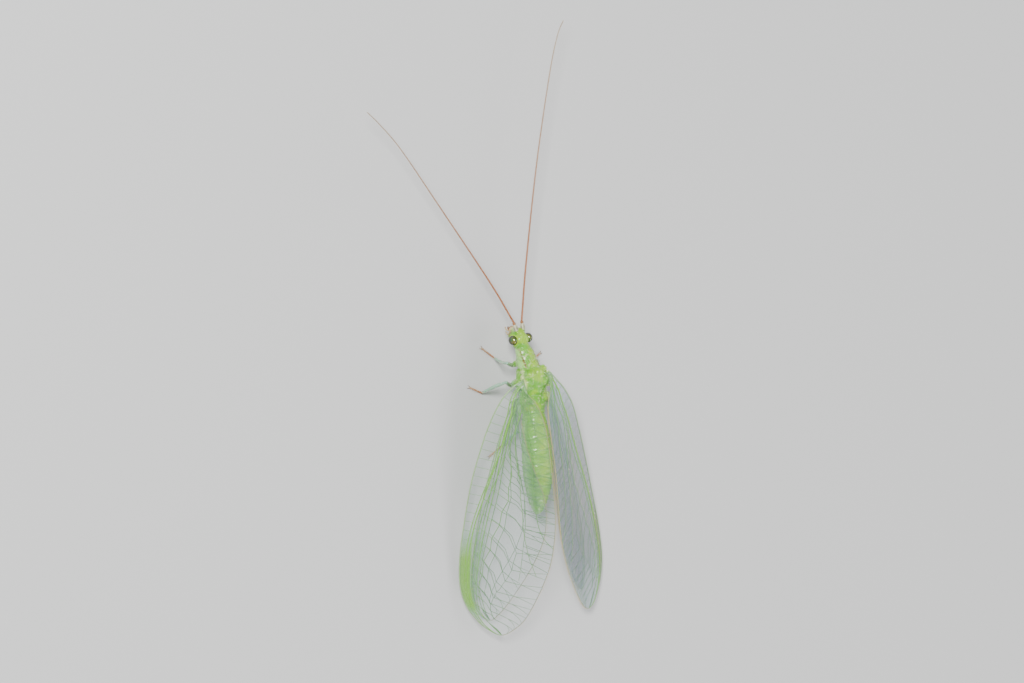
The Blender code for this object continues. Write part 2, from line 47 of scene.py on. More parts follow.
# Camera, as solved from the photograph
CAMERA_PLACE = (137.739, -49.519, 216.435)
CAMERA_RIGHT = (-0.83131, 0.08464, 0.54932)
CAMERA_UP = (-0.16891, -0.98006, -0.10461)
CAMERA_BACK = (0.52952, -0.17975, 0.82904)
CAMERA_LENS = 155.39

# Body and head
BODY = (                                # y, middle x, middle z, half width, half height
    (-2.66, 0.07, 1.98, 0.44, 0.36),
    (-2.45, 0.05, 2.05, 0.53, 0.44),
    (-2.10, 0.00, 2.12, 0.61, 0.50),
    (-1.70, -0.05, 2.19, 0.67, 0.55),
    (-1.42, -0.08, 2.22, 0.71, 0.59),
    (-1.15, -0.10, 2.28, 0.82, 0.72),
    (-0.75, -0.11, 2.32, 0.92, 0.80),
    (-0.20, -0.11, 2.34, 0.92, 0.80),
    (0.15, -0.11, 2.33, 0.86, 0.76),
    (0.55, -0.11, 2.32, 0.85, 0.74),
    (1.00, -0.11, 2.30, 0.76, 0.69),
    (1.30, -0.11, 2.30, 0.66, 0.63),
    (2.30, -0.13, 2.28, 0.80, 0.74),
    (3.40, -0.14, 2.26, 0.90, 0.80),
    (4.50, -0.14, 2.23, 0.93, 0.82),
    (5.40, -0.13, 2.18, 0.86, 0.77),
    (6.20, -0.11, 2.10, 0.70, 0.66),
    (6.90, -0.08, 2.00, 0.48, 0.48),
    (7.35, -0.06, 1.92, 0.28, 0.30),
    (7.52, -0.05, 1.88, 0.12, 0.14),
)
THORAX_MIDDLE = -0.11
SEGMENT_ENDS = (1.30, 2.00, 2.75, 3.50, 4.28, 5.02, 5.70, 6.32, 6.88)
HEAD = np.array((0.16, -3.12, 1.92))
EYE_RADII = np.array((0.245, 0.29, 0.33))
EYE_SPREAD = 0.53
EYE_PLACE = np.array((0.0, 0.05, 0.06))
SKIN_VOXEL = 0.036
BODY_HAIRS = 1600
HAIR_RADII = {"body": 0.0038, "feeler": 0.0040, "leg": 0.0042, "vein": 0.0042, "margin": 0.0045}

# Feelers: the points they pass through, from the end of the scape to the tip
SCAPE_SPREAD = 0.23
SCAPE_ROOT = np.array((0.0, -0.46, 0.06))
FEELERS = {
    "left": ((0.56, -4.22, 1.98), (1.95, -6.70, 2.05), (4.96, -11.61, 2.15),
             (7.30, -15.34, 2.25), (8.63, -17.02, 2.32), (9.42, -17.86, 2.35)),
    "right": ((-0.02, -4.24, 1.98), (-0.62, -7.40, 2.05), (-1.87, -13.10, 2.15),
              (-3.23, -18.22, 2.25), (-3.95, -20.40, 2.32), (-4.46, -21.29, 2.35)),
}
RINGLET_LENGTH = 0.205
SCAPE_PALE, SCAPE_DARK = np.array((0.62, 0.64, 0.44)), np.array((0.030, 0.025, 0.015))
FEELER_ORANGE, FEELER_PALE = np.array((0.340, 0.110, 0.025)), np.array((0.380, 0.300, 0.220))

# Legs: where each leaves the body, its joints, and where its foot ends
LEGS = {
    ("front", "left"): ((0.30, -1.80, 1.95), (0.50, -1.48, 1.44), (1.38, -1.86, 2.20),
                        (0.92, -1.86, 0.14), (1.66, -2.54, 0.10)),
    ("middle", "left"): ((0.45, -0.55, 1.90), (0.58, -0.26, 1.16), (1.54, -0.74, 2.20),
                         (2.00, 0.05, 0.14), (2.74, -0.38, 0.10)),
    ("hind", "left"): ((0.42, 0.62, 1.90), (0.54, 0.80, 1.12), (0.40, 2.58, 1.16),
                       (0.99, 3.47, 0.14), (1.79, 3.92, 0.10)),
    ("front", "right"): ((-0.25, -1.85, 1.95), (-0.48, -1.70, 1.25), (-1.26, -1.45, 1.50),
                         (-1.52, -1.12, 0.14), (-2.34, -1.56, 0.10)),
    ("middle", "right"): ((-0.45, -0.55, 1.90), (-0.62, -0.46, 1.10), (-1.52, -0.30, 2.00),
                          (-1.86, 0.70, 0.14), (-2.60, 0.40, 0.10)),
    ("hind", "right"): ((-0.42, 0.62, 1.90), (-0.60, 0.80, 1.12), (-1.24, 2.28, 1.70),
                        (-1.50, 3.90, 0.14), (-1.95, 4.50, 0.10)),
}
LIMB_POINTS = 30

# Wings: the roof's height over the middle plane, and over a line ROOF_EDGE outside of it
ROOF_EDGE = 5.05
ROOF = (                                # y, height over the middle plane, height over the edge line
    (-1.00, 3.46, 1.46), (0.00, 3.64, 1.30), (1.00, 3.78, 1.08), (2.40, 4.00, 0.76),
    (4.30, 4.17, 0.55), (6.40, 4.20, 0.50), (8.20, 4.10, 0.50), (10.20, 3.78, 0.48),
    (11.50, 3.42, 0.46), (12.70, 2.98, 0.44), (13.60, 2.58, 0.44), (14.70, 2.05, 0.46),
)
OUTLINES = {                            # x, y; the number is the tip's place in the list
    ("forewing", "left"): (12, (
        (1.04, -0.80), (1.56, -0.53), (2.27, 0.18), (2.96, 1.50), (3.61, 3.43), (4.12, 5.30),
        (4.55, 7.40), (4.88, 9.25), (5.00, 11.00), (4.76, 12.30), (4.14, 13.40), (3.46, 14.08),
        (2.80, 14.44), (2.16, 14.22), (1.50, 13.60), (0.92, 12.20), (0.45, 10.50), (0.24, 9.00),
        (0.15, 7.40), (0.15, 5.00), (0.15, 2.80), (0.22, 1.50), (0.46, 0.60), (0.80, 0.02))),
    ("forewing", "right"): (12, (
        (0.98, -1.00), (1.46, -0.46), (2.14, 0.28), (2.92, 1.50), (3.61, 3.43), (4.14, 5.30),
        (4.62, 7.40), (5.02, 9.25), (5.18, 11.00), (4.95, 12.30), (4.47, 13.30), (4.05, 13.90),
        (3.58, 14.16), (3.10, 13.90), (2.45, 13.02), (1.50, 11.50), (0.76, 10.10), (0.34, 8.80),
        (0.15, 7.40), (0.15, 5.00), (0.15, 2.80), (0.22, 1.50), (0.46, 0.60), (0.80, -0.02))),
    ("hindwing", "left"): (10, (
        (1.12, 0.42), (1.48, 0.95), (1.98, 2.10), (2.55, 3.90), (3.10, 5.90), (3.55, 7.80),
        (3.86, 9.60), (4.03, 11.20), (3.97, 12.30), (3.64, 13.15), (3.08, 13.60), (2.56, 13.25),
        (2.08, 12.62), (1.42, 11.50), (0.80, 10.20), (0.36, 8.90), (0.20, 7.60), (0.24, 6.30),
        (0.52, 5.00), (0.80, 3.60), (0.95, 2.20), (0.98, 1.20))),
    ("hindwing", "right"): (10, (
        (1.12, 0.42), (1.48, 0.95), (2.00, 2.10), (2.58, 3.90), (3.16, 5.90), (3.62, 7.80),
        (3.94, 9.60), (4.06, 11.00), (4.00, 12.00), (3.80, 12.74), (3.48, 13.04), (3.06, 12.70),
        (2.68, 12.05), (2.05, 10.90), (1.50, 9.70), (1.14, 8.60), (0.98, 7.50), (0.92, 6.30),
        (0.92, 5.00), (0.94, 3.60), (0.97, 2.20), (0.98, 1.20))),
}
SPREAD = {"left": 0.98, "right": 1.03}  # of all the outlines, in width
STACK = {"forewing": 0.0, "hindwing": 0.70}     # distance under the roof
MARGIN_POINTS = 240
WING_END = 0.9985                       # share of the length where sheet and margin veins end
MEMBRANE = 0.022                        # half its thickness
MEMBRANE_GRID = (150, 44)
WEB = 0.015                             # half the thickness of the web between the veins' roots
ROOT_POINTS = 12
VEIN_STEP = 0.22
WING_ROOTS = {                          # distance from the middle, y and its spread, z
    "forewing": (0.80, -0.86, 0.72, 2.74),
    "hindwing": (0.74, 0.30, 0.55, 2.34),
}
# Long veins as (share of the wing's length, share of its width from the front margin)
LINES = {
    "forewing": {
        "subcosta": ((0, .14), (.06, .17), (.13, .25), (.20, .25), (.34, .22), (.44, .145),
                     (.55, .08), (.70, .06), (.85, .05), (.94, .004)),
        "radius": ((0, .20), (.06, .23), (.12, .31), (.18, .31), (.30, .26), (.44, .175),
                   (.55, .11), (.70, .095), (.85, .08), (.95, .05), (.985, .01)),
        "sector": ((.05, .25), (.09, .36), (.17, .365), (.29, .345), (.37, .29), (.44, .225),
                   (.50, .185), (.59, .155), (.75, .14), (.83, .15), (.90, .19), (.985, .32)),
        "media": ((0, .34), (.05, .45), (.10, .51), (.16, .465), (.25, .39)),
        "inner": ((.25, .39), (.29, .455), (.36, .465), (.43, .455), (.50, .395), (.57, .34),
                  (.64, .295), (.70, .25), (.78, .23), (.86, .26), (.92, .36)),
        "outer": ((.10, .51), (.14, .475), (.19, .46), (.25, .49), (.31, .54), (.36, .585),
                  (.42, .60), (.48, .63), (.54, .65), (.60, .70), (.66, .77), (.72, .88)),
        "cubitus": ((0, .42), (.03, .49), (.12, .605), (.18, .64), (.235, .715), (.30, .735),
                    (.38, .75), (.45, .77), (.52, .81), (.57, .88), (.61, 1)),
        "anal": ((0, .54), (.06, .65), (.11, .71), (.15, .79), (.18, .80), (.225, 1)),
        "hind_anal": ((0, .72), (.05, .82), (.11, 1)),
    },
    "hindwing": {
        "subcosta": ((0, .15), (.1, .14), (.3, .11), (.6, .07), (.8, .05), (.93, .02), (.96, .004)),
        "radius": ((0, .25), (.1, .22), (.3, .17), (.6, .11), (.8, .09), (.93, .09), (.985, .03)),
        "sector": ((.06, .24), (.14, .28), (.3, .25), (.6, .17), (.8, .15), (.93, .20), (.985, .3)),
        "media": ((0, .36), (.08, .40)),
        "inner": ((.08, .40), (.2, .42), (.4, .43), (.6, .36), (.75, .29), (.86, .30), (.92, .38)),
        "outer": ((.08, .56), (.2, .60), (.4, .66), (.6, .72), (.7, .80), (.78, .90)),
        "cubitus": ((0, .50), (.08, .56)),
        "anal": ((0, .68), (.1, .76), (.2, .84), (.3, 1)),
        "hind_anal": ((0, .82), (.06, .88), (.12, 1)),
    },
}
# Branches from the sector to the hind margin: where each passes the inner line and then the outer
# one or the gradate row, and where it ends, as shares of the length; with its width at the second
BRANCH_RUNS = {
    "forewing": (
        (.290, .320, .55, .345), (.345, .375, .59, .405), (.395, .430, .61, .460),
        (.440, .478, .635, .500), (.482, .540, .655, .555), (.530, .630, .605, .640),
        (.580, .695, .585, .720), (.622, .737, .530, .775), (.665, .778, .440, .825),
        (.712, .800, .400, .868), (.760, .822, .350, .905), (.808, .855, .330, .940),
        (.858, .895, .370, .970)),
    "hindwing": (
        (.20, .25, .60, .28), (.27, .32, .63, .35), (.34, .39, .66, .43), (.41, .47, .67, .51),
        (.48, .55, .66, .59), (.55, .63, .63, .67), (.61, .69, .58, .745), (.67, .74, .53, .81),
        (.73, .79, .48, .87), (.79, .84, .44, .92), (.85, .89, .44, .96)),
}
COSTAL_CROSSVEINS = {"forewing": 27, "hindwing": 18}
RADIAL_CROSSVEINS = {"forewing": 14, "hindwing": 11}
ZIGZAG = 0.013                          # of the width, at each branch
# Other cross veins: from which long vein to which, or to the margin (1.0), how much farther along the
# wing they end, and where they start, as shares of the length
CROSS_VEINS = {
    "forewing": (
        ("sector", "media", 0.012, (.12, .17, .21)),
        ("inner", "outer", 0.010, (.27, .31)),
        ("outer", "cubitus", 0.006, (.13, .18, .23, .285, .345, .405, .465, .525)),
        ("cubitus", 1.0, 0.008, (.25, .285, .325, .365, .41, .46, .505, .55)),
        ("cubitus", "anal", -0.024, (.152,)),
        ("cubitus", "anal", -0.038, (.22,)),
        ("anal", 1.0, 0.007, (.128,)),
        ("anal", 1.0, 0.010, (.160,)),
        ("cubitus", "anal", -0.010, (.085,)),
        ("anal", "hind_anal", 0.010, (.05,)),
        ("outer", 1.0, 0.035, (.565, .60, .635, .67)),
    ),
    "hindwing": (
        ("inner", "outer", 0.012, (.11, .16)),
        ("outer", 1.0, 0.020, (.30, .38, .46, .54, .62, .68)),
        ("outer", "anal", 0.004, (.10, .17)),
        ("anal", 1.0, 0.020, (.12, .18, .24)),
    ),
}


class Shape:
    """The vertices and faces of a piece while it is built, with a colour for each vertex.

    A tint's fourth value says how much a wing's membrane covers there.
    """

    def __init__(self):
        self.vertices, self.faces, self.slots, self.tints = [], [], [], []
        self.patches = []
        self.count = 0

    def add(self, vertices, faces, slot=0, tint=(1.0, 1.0, 1.0), patch=None):
        vertices = np.asarray(vertices, float)
        tint = np.asarray(tint, float)
        if tint.shape[-1] == 3:
            tint = np.concatenate((tint, np.ones(tint.shape[:-1] + (1,))), -1)
        self.vertices.append(vertices)
        self.tints.append(np.broadcast_to(tint, (len(vertices), 4)))
        if patch is not None:
            self.patches.append(patch)
        self.faces.extend(tuple(int(corner) + self.count for corner in face) for face in faces)
        self.slots.extend([slot] * len(faces))
        self.count += len(vertices)

    def add_tube(self, points, radii, sides, tints):
        """A tube with a tint for each point of its line."""
        self.add(*tube(points, radii, sides), tint=np.repeat(tints, sides, axis=0))


def new_object(name, data):
    """An object in the scene that shows a mesh, a light or a camera."""
    made = bpy.data.objects.new(name, data)
    bpy.context.scene.collection.objects.link(made)
    return made


def make_piece(name, shape, finishes, replaced=()):
    """A shown piece on the row's one body, from a shape in millimetres."""
    mesh = bpy.data.meshes.new(name)
    points = (np.vstack(shape.vertices) - ORIGIN) * MM
    mesh.from_pydata(points.tolist(), [], shape.faces)
    for finish in finishes:
        mesh.materials.append(finish)
    mesh.polygons.foreach_set("material_index", shape.slots)
    mesh.shade_smooth()
    tint = mesh.color_attributes.new("tint", "FLOAT_COLOR", "POINT")
    tint.data.foreach_set("color", np.vstack(shape.tints).astype(np.float32).ravel())
    if shape.patches:
        places = np.vstack(shape.patches)
        corners = np.empty(len(mesh.loops), np.int32)
        mesh.loops.foreach_get("vertex_index", corners)
        layer = mesh.uv_layers.new(name="OFBake")
        layer.data.foreach_set("uv", places[corners].astype(np.float32).ravel())
    mesh.update()
    piece = new_object(name, mesh)
    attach(piece, "root")
    if replaced:
        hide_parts(*replaced)


def smooth_rows(rows, at):
    """Values at some places, on smooth curves through rows that start with their place."""
    rows = np.asarray(rows, float)
    place, values = rows[:, 0], rows[:, 1:]
    slopes = np.empty_like(values)
    slopes[1:-1] = (values[2:] - values[:-2]) / (place[2:] - place[:-2])[:, None]
    slopes[0] = (values[1] - values[0]) / (place[1] - place[0])
    slopes[-1] = (values[-1] - values[-2]) / (place[-1] - place[-2])
    at = np.clip(np.atleast_1d(np.asarray(at, float)), place[0], place[-1])
    index = np.clip(np.searchsorted(place, at, side="right") - 1, 0, len(place) - 2)
    span = (place[index + 1] - place[index])[:, None]
    t = (at - place[index])[:, None] / span
    near = (2 * t ** 3 - 3 * t ** 2 + 1) * values[index]
    near_slope = (t ** 3 - 2 * t ** 2 + t) * slopes[index] * span
    far = (3 * t ** 2 - 2 * t ** 3) * values[index + 1]
    far_slope = (t ** 3 - t ** 2) * slopes[index + 1] * span
    return near + near_slope + far + far_slope


def curve_through(points, steps):
    """A smooth line through some points, with a number of steps from each to the next."""
    points = np.asarray(points, float)
    padded = np.vstack((2 * points[0] - points[1], points, 2 * points[-1] - points[-2]))
    found = []
    for before, start, end, after in zip(padded, padded[1:], padded[2:], padded[3:]):
        for t in np.arange(steps) / steps:
            found.append(0.5 * (2 * start + (end - before) * t
                                + (2 * before - 5 * start + 4 * end - after) * t ** 2
                                + (3 * start - before - 3 * end + after) * t ** 3))
    found.append(points[-1])
    return np.array(found)


def resampled(points, count):
    """The same line with a number of points evenly along it."""
    points = np.asarray(points, float)
    steps = np.linalg.norm(np.diff(points, axis=0), axis=1)
    along = np.concatenate(([0], np.cumsum(steps)))
    wanted = np.linspace(0, along[-1], count)
    return np.stack([np.interp(wanted, along, points[:, axis]) for axis in range(points.shape[1])], 1)


def line_length(points):
    return np.linalg.norm(np.diff(points, axis=0), axis=1).sum()


def unit(vectors):
    return vectors / np.maximum(np.linalg.norm(vectors, axis=-1, keepdims=True), 1e-12)


def frames_along(points):
    """Tangent, side and up directions along a line, without twist."""
    ahead = unit(np.gradient(points, axis=0))
    side = np.empty_like(ahead)
    start = np.cross(ahead[0], (0.0, 0.0, 1.0))
    if np.linalg.norm(start) < 0.1:
        start = np.cross(ahead[0], (0.0, 1.0, 0.0))
    side[0] = unit(start)
    for index in range(1, len(points)):
        moved = side[index - 1] - ahead[index] * side[index - 1].dot(ahead[index])
        side[index] = unit(moved)
    return ahead, side, np.cross(side, ahead)


def ring_faces(count, sides):
    """Faces of a closed body made of rings of points."""
    near = np.arange(sides)
    far = (near + 1) % sides
    faces = [quad for ring in range(count - 1)
             for quad in np.stack((near, far, far + sides, near + sides), 1) + ring * sides]
    faces.append(tuple(near[::-1]))
    faces.append(tuple(near + (count - 1) * sides))
    return faces


def all_round(side, up, count):
    """Directions evenly around a line, from its side and up directions."""
    turns = np.arange(count) * 2 * math.pi / count
    return side[:, None] * np.cos(turns)[:, None] + up[:, None] * np.sin(turns)[:, None]


def tube(points, radii, sides=8):
    """A closed tube along a line."""
    points = np.asarray(points, float)
    radii = np.broadcast_to(np.asarray(radii, float), len(points))
    _, side, up = frames_along(points)
    rings = points[:, None] + radii[:, None, None] * all_round(side, up, sides)
    return rings.reshape(-1, 3), ring_faces(len(points), sides)


def ball(middle, radii, columns=20, rows=12):
    """A closed ellipsoid."""
    vertices, faces = [(0.0, 0.0, 1.0)], []
    for row in range(1, rows):
        polar = math.pi * row / rows
        for column in range(columns):
            turn = 2 * math.pi * column / columns
            vertices.append((math.sin(polar) * math.cos(turn), math.sin(polar) * math.sin(turn),
                             math.cos(polar)))
    vertices.append((0.0, 0.0, -1.0))
    for column in range(columns):
        after = (column + 1) % columns
        faces.append((0, 1 + column, 1 + after))
        for row in range(rows - 2):
            low = 1 + row * columns
            faces.append((low + column, low + columns + column, low + columns + after, low + after))
        last = 1 + (rows - 2) * columns
        faces.append((last + column, len(vertices) - 1, last + after))
    return np.array(vertices) * np.asarray(radii, float) + np.asarray(middle, float), faces


def spikes(roots, directions, lengths, radius, bend):
    """Thin three-sided hairs, bent along one common direction or each along its own."""
    count = len(roots)
    ahead = unit(directions)
    side = unit(np.cross(ahead, (0.31, 0.17, 0.94)))
    up = np.cross(side, ahead)
    lengths = np.broadcast_to(np.asarray(lengths, float), count)[:, None]
    middle = roots + ahead * lengths * 0.55 + bend * lengths * 0.15
    tips = roots + ahead * lengths + bend * lengths * 0.5
    spread = all_round(side, up, 3)
    low = roots[:, None] + spread * radius
    high = middle[:, None] + spread * radius * 0.7
    vertices = np.concatenate((low, high, tips[:, None]), 1).reshape(-1, 3)
    pattern = [(0, 1, 4, 3), (1, 2, 5, 4), (2, 0, 3, 5), (3, 4, 6), (4, 5, 6), (5, 3, 6)]
    faces = [tuple(corner + 7 * hair for corner in face) for hair in range(count) for face in pattern]
    return vertices, faces


def hair_patches(places):
    """Each hair's own small patch at its root's place on the unwrapped surface."""
    corners = np.array([(0, 0), (1, 0), (0.5, 1), (0, 0.5), (1, 0.5), (0.5, 1), (0.5, 0.5)]) * 0.003
    return (np.asarray(places, float)[:, None] + corners[None]).reshape(-1, 2)


def make_coat(name, hairs, places, finish):
    """A piece of hairs alone, with the unwrapped place of each root."""
    coat = Shape()
    coat.add(*hairs, patch=hair_patches(places))
    make_piece(name, coat, [finish])


def limited(value):
    """The value, kept between 0 and 1."""
    return np.clip(value, 0, 1)


def blend(base, colour, share):
    share = limited(np.asarray(share, float))[..., None]
    return base * (1 - share) + colour * share


def bell(distance, width):
    """1 in the middle, and near 0 from about twice the width."""
    return np.exp(-(distance / width) ** 2)


def body_at(y):
    return smooth_rows(BODY, y)


def body_shares(points):
    """The body's row at each point, and its place as shares of the half width and half height."""
    row = body_at(points[:, 1])
    across = (points[:, 0] - row[:, 0]) / np.maximum(row[:, 2], 0.1)
    up = (points[:, 2] - row[:, 1]) / np.maximum(row[:, 3], 0.1)
    return row, across, up


def eye_middle(sign):
    return HEAD + EYE_PLACE + np.array((sign * EYE_SPREAD, 0, 0))


# Materials

TINTED_FINISHES = {
    "skin": dict(darker=(0.58, 0.78, 0.36), lighter=(0.10, 0.13, 0.02), depth=0.022, roughness=0.28,
                 coat=0.45),
    "leg": dict(darker=(0.76, 0.86, 0.80), lighter=(0.08, 0.10, 0.08), mottle=2.5, grain=20.0,
                depth=0.008, roughness=0.36, coat=0.15),
    "feeler": dict(darker=(0.72, 0.60, 0.50), lighter=(0.06, 0.04, 0.02), mottle=3.0, grain=26.0,
                   depth=0.006, roughness=0.45, coat=0.05),
    "mouth": dict(darker=(0.75, 0.60, 0.45), lighter=(0.18, 0.14, 0.08), mottle=5.0, grain=24.0,
                  depth=0.008, roughness=0.35),
    "vein": dict(darker=(0.78, 0.86, 0.70), lighter=(0.05, 0.07, 0.02), mottle=4.0, grain=30.0,
                 depth=0.003, roughness=0.35, subsurface=0.05, coat=0.0),
}
PLAIN_FINISHES = {                      # colour, roughness
    "hair": ((0.80, 0.78, 0.66), 0.5),
    "gold_hair": ((0.62, 0.40, 0.16), 0.45),
    "claw": ((0.16, 0.07, 0.03), 0.25),
}


def set_up(tree, node, **values):
    """Set some of a node's inputs and settings by their names; a socket is joined to its input."""
    for name, value in values.items():
        title = name.replace("_", " ")
        if title not in node.inputs:
            setattr(node, name, value)
        elif isinstance(value, bpy.types.NodeSocket):
            tree.links.new(value, node.inputs[title])
        else:
            node.inputs[title].default_value = value
    return node


def add_node(tree, kind, **values):
    return set_up(tree, tree.nodes.new(kind), **values)


def blank(name, colour, roughness):
    """A plain finish, with its node tree and its shader."""
    finish = bpy.data.materials.new(name)
    finish.use_nodes = True
    tree = finish.node_tree
    shader = set_up(tree, tree.nodes["Principled BSDF"], Base_Color=(*colour, 1.0), Roughness=roughness)
    return finish, tree, shader


def millimetre_space(tree):
    """The piece's own coordinates, in millimetres."""
    place = add_node(tree, "ShaderNodeTexCoord").outputs["Object"]
    scale = (1 / MM, 1 / MM, 1 / MM)
    return add_node(tree, "ShaderNodeMapping", Vector=place, Scale=scale).outputs["Vector"]


def noise_value(tree, space, scale, detail=3.0, low=0.35, high=0.65):
    """Noise that runs from 0 to 1 between its low and its high value."""
    grain = add_node(tree, "ShaderNodeTexNoise", Vector=space, Scale=scale, Detail=detail, Roughness=0.6)
    spread = add_node(tree, "ShaderNodeMapRange", Value=grain.outputs[0], From_Min=low, From_Max=high)
    return spread.outputs["Result"]


def mixed(tree, share, first, second, mode="MIX"):
    """The colour between two, or one laid over another; each is a socket or a colour."""
    mix = add_node(tree, "ShaderNodeMix", data_type="RGBA", blend_type=mode)
    for place, value in ((0, share), (6, first), (7, second)):
        if isinstance(value, bpy.types.NodeSocket):
            tree.links.new(value, mix.inputs[place])
        else:
            mix.inputs[place].default_value = (*value, 1.0)
    return mix.outputs[2]


def scaled(tree, value, factor):
    times = add_node(tree, "ShaderNodeMath", operation="MULTIPLY", Value=value)
    times.inputs[1].default_value = factor
    return times.outputs[0]


def bump(tree, shader, heights, distance_mm, strength=1.0):
    raised = add_node(tree, "ShaderNodeBump", Strength=strength, Distance=distance_mm * MM, Height=heights)
    set_up(tree, shader, Normal=raised.outputs["Normal"])


def tinted_finish(name, darker, lighter, mottle=1.2, grain=14.0, depth=0.012, roughness=0.32,
                  subsurface=0.20, coat=0.25):
    """A cuticle that takes its colour from the piece's tint, with mottling and a fine grain."""
    finish, tree, shader = blank(name, (0.5, 0.5, 0.5), roughness)
    tint = add_node(tree, "ShaderNodeVertexColor", layer_name="tint")
    space = millimetre_space(tree)
    broad = noise_value(tree, space, mottle, 4.0)
    fine = noise_value(tree, space, mottle * 6)
    colour = mixed(tree, scaled(tree, broad, 0.55), tint.outputs["Color"], darker, "MULTIPLY")
    colour = mixed(tree, scaled(tree, fine, 0.30), colour, lighter, "SCREEN")
    set_up(tree, shader, Base_Color=colour, Subsurface_Weight=subsurface,
           Subsurface_Radius=(1.0, 1.0, 0.35), Subsurface_Scale=0.25 * MM, Coat_Weight=coat,
           Coat_Roughness=0.14)
    bump(tree, shader, noise_value(tree, space, grain, 4.0, 0.25, 0.75), depth)
    return finish


def eye_finish():
    """Near black, with a painted golden green glint in its colour where it faces the viewer."""
    finish, tree, shader = blank("eye", (0.03, 0.03, 0.015), 0.20)
    space = millimetre_space(tree)
    facets = add_node(tree, "ShaderNodeTexVoronoi", Vector=space, Scale=38.0)
    bump(tree, shader, facets.outputs["Distance"], 0.008, 0.35)
    # Painted highlight: the base colour turns golden green where the eye faces the viewer, standing in for
    # the glint on it.
    angle = add_node(tree, "ShaderNodeLayerWeight", Blend=0.5)
    painted_glint = add_node(tree, "ShaderNodeMapRange", Value=angle.outputs["Facing"], From_Min=0.02,
                    From_Max=0.50, To_Min=1.0, To_Max=0.0)
    gold = mixed(tree, noise_value(tree, space, 3.2, 2.0), (0.46, 0.42, 0.08), (0.10, 0.32, 0.06))
    colour = mixed(tree, scaled(tree, painted_glint.outputs["Result"], 0.55), (0.014, 0.010, 0.007), gold)
    set_up(tree, shader, Base_Color=colour, Metallic=0.45, Coat_Weight=0.8, Coat_Roughness=0.05)
    return finish


def membrane_finish():
    """Clear and thin where it is seen squarely; where it is seen at a low angle, a painted steel blue
    sheen in its colour, with more cover.
    """
    finish, tree, shader = blank("membrane", (0.70, 0.80, 0.82), 0.12)
    tint = add_node(tree, "ShaderNodeVertexColor", layer_name="tint")
    space = millimetre_space(tree)
    angle = add_node(tree, "ShaderNodeLayerWeight", Blend=0.35)
    # Painted reflection: the colour turns steel blue where the wing is seen at a low angle.
    colour = mixed(tree, angle.outputs["Facing"], tint.outputs["Color"], (0.08, 0.18, 0.25))
    haze = scaled(tree, noise_value(tree, space, 0.9), 0.4)
    colour = mixed(tree, haze, colour, (0.70, 0.84, 0.90), "MULTIPLY")
    # The cover also rises at low angles, so the painted steel blue sheen shows there.
    cover = add_node(tree, "ShaderNodeMapRange", Value=angle.outputs["Facing"], From_Min=0.15,
                     From_Max=0.85, To_Min=0.05, To_Max=0.62)
    marked = add_node(tree, "ShaderNodeMath", operation="MAXIMUM", Value=cover.outputs["Result"])
    tree.links.new(tint.outputs["Alpha"], marked.inputs[1])
    set_up(tree, shader, Base_Color=colour, Alpha=marked.outputs[0], IOR=1.9,
           Thin_Film_Thickness=380.0, Thin_Film_IOR=1.35)
    bump(tree, shader, noise_value(tree, space, 5.0, 4.0, 0.25, 0.75), 0.02, 0.6)
    return finish


def make_finishes():
    """All finishes by name."""
    made = {name: tinted_finish(name, **values) for name, values in TINTED_FINISHES.items()}
    for name, (colour, roughness) in PLAIN_FINISHES.items():
        made[name] = blank(name, colour, roughness)[0]
    made["eye"] = eye_finish()
    made["membrane"] = membrane_finish()
    return made


# Body skin

GREEN = np.array((0.135, 0.420, 0.004))
LEAF = np.array((0.080, 0.320, 0.008))
YELLOW_GREEN = np.array((0.370, 0.560, 0.008))
MILKY = np.array((0.290, 0.540, 0.160))
CREAM = np.array((0.600, 0.660, 0.330))
PALE_LEG = np.array((0.270, 0.470, 0.330))
GREEN_LEG = np.array((0.220, 0.440, 0.140))
FOOT_ORANGE = np.array((0.420, 0.130, 0.030))
FOOT_WHITE = np.array((0.520, 0.440, 0.300))
RED_BROWN = np.array((0.200, 0.035, 0.018))
STRIPE_SPREAD = 0.44                    # of the red-brown lines on the pronotum, from its middle
STRIPE_WIDTH = 0.040


def add_body_loft(shape):
    """Oval rings along the whole body, of the sizes that BODY gives."""
    sides = 40
    places = np.arange(BODY[0][0], BODY[-1][0] + 0.001, 0.08)
    rows = body_at(places)
    turns = np.arange(sides) * 2 * math.pi / sides
    rings = np.stack([np.stack((row[0] + row[2] * np.cos(turns), np.full(sides, place),
                                row[1] + row[3] * np.sin(turns)), 1)
                      for place, row in zip(places, rows)])
    shape.add(rings.reshape(-1, 3), ring_faces(len(rings), sides))


def add_thorax_lobes(shape):
    paired = (
        ((0.27, -1.02, 2.80), (0.36, 0.30, 0.30)),           # front lobes of the mesothorax
        ((0.47, -0.52, 2.78), (0.40, 0.42, 0.34)),           # its wing-bearing lobes
        ((0.40, 0.46, 2.74), (0.36, 0.32, 0.32)),            # the same on the metathorax
        ((0.62, -0.42, 2.30), (0.40, 0.50, 0.52)),           # side plates
        ((0.56, 0.62, 2.25), (0.38, 0.42, 0.48)),
        ((0.68, -1.25, 2.66), (0.24, 0.22, 0.22)),           # shoulders
        ((0.84, -0.50, 2.88), (0.22, 0.34, 0.14)),           # wing roots
        ((0.90, -0.92, 2.80), (0.15, 0.20, 0.15)),
        ((0.84, 0.45, 2.56), (0.24, 0.30, 0.16)),
    )
    single = (
        ((0.00, 0.02, 2.90), (0.32, 0.27, 0.24)),            # middle plates
        ((0.00, 0.86, 2.80), (0.28, 0.20, 0.20)),
        ((0.00, -1.62, 2.30), (0.58, 0.26, 0.44)),           # swellings of the pronotum
        ((0.05, -2.20, 2.26), (0.42, 0.32, 0.34)),
    )
    for side in SIDES.values():
        for (out, y, z), radii in paired:
            shape.add(*ball((THORAX_MIDDLE + side * out, y, z), radii))
    for (out, y, z), radii in single:
        shape.add(*ball((THORAX_MIDDLE + out, y, z), radii))


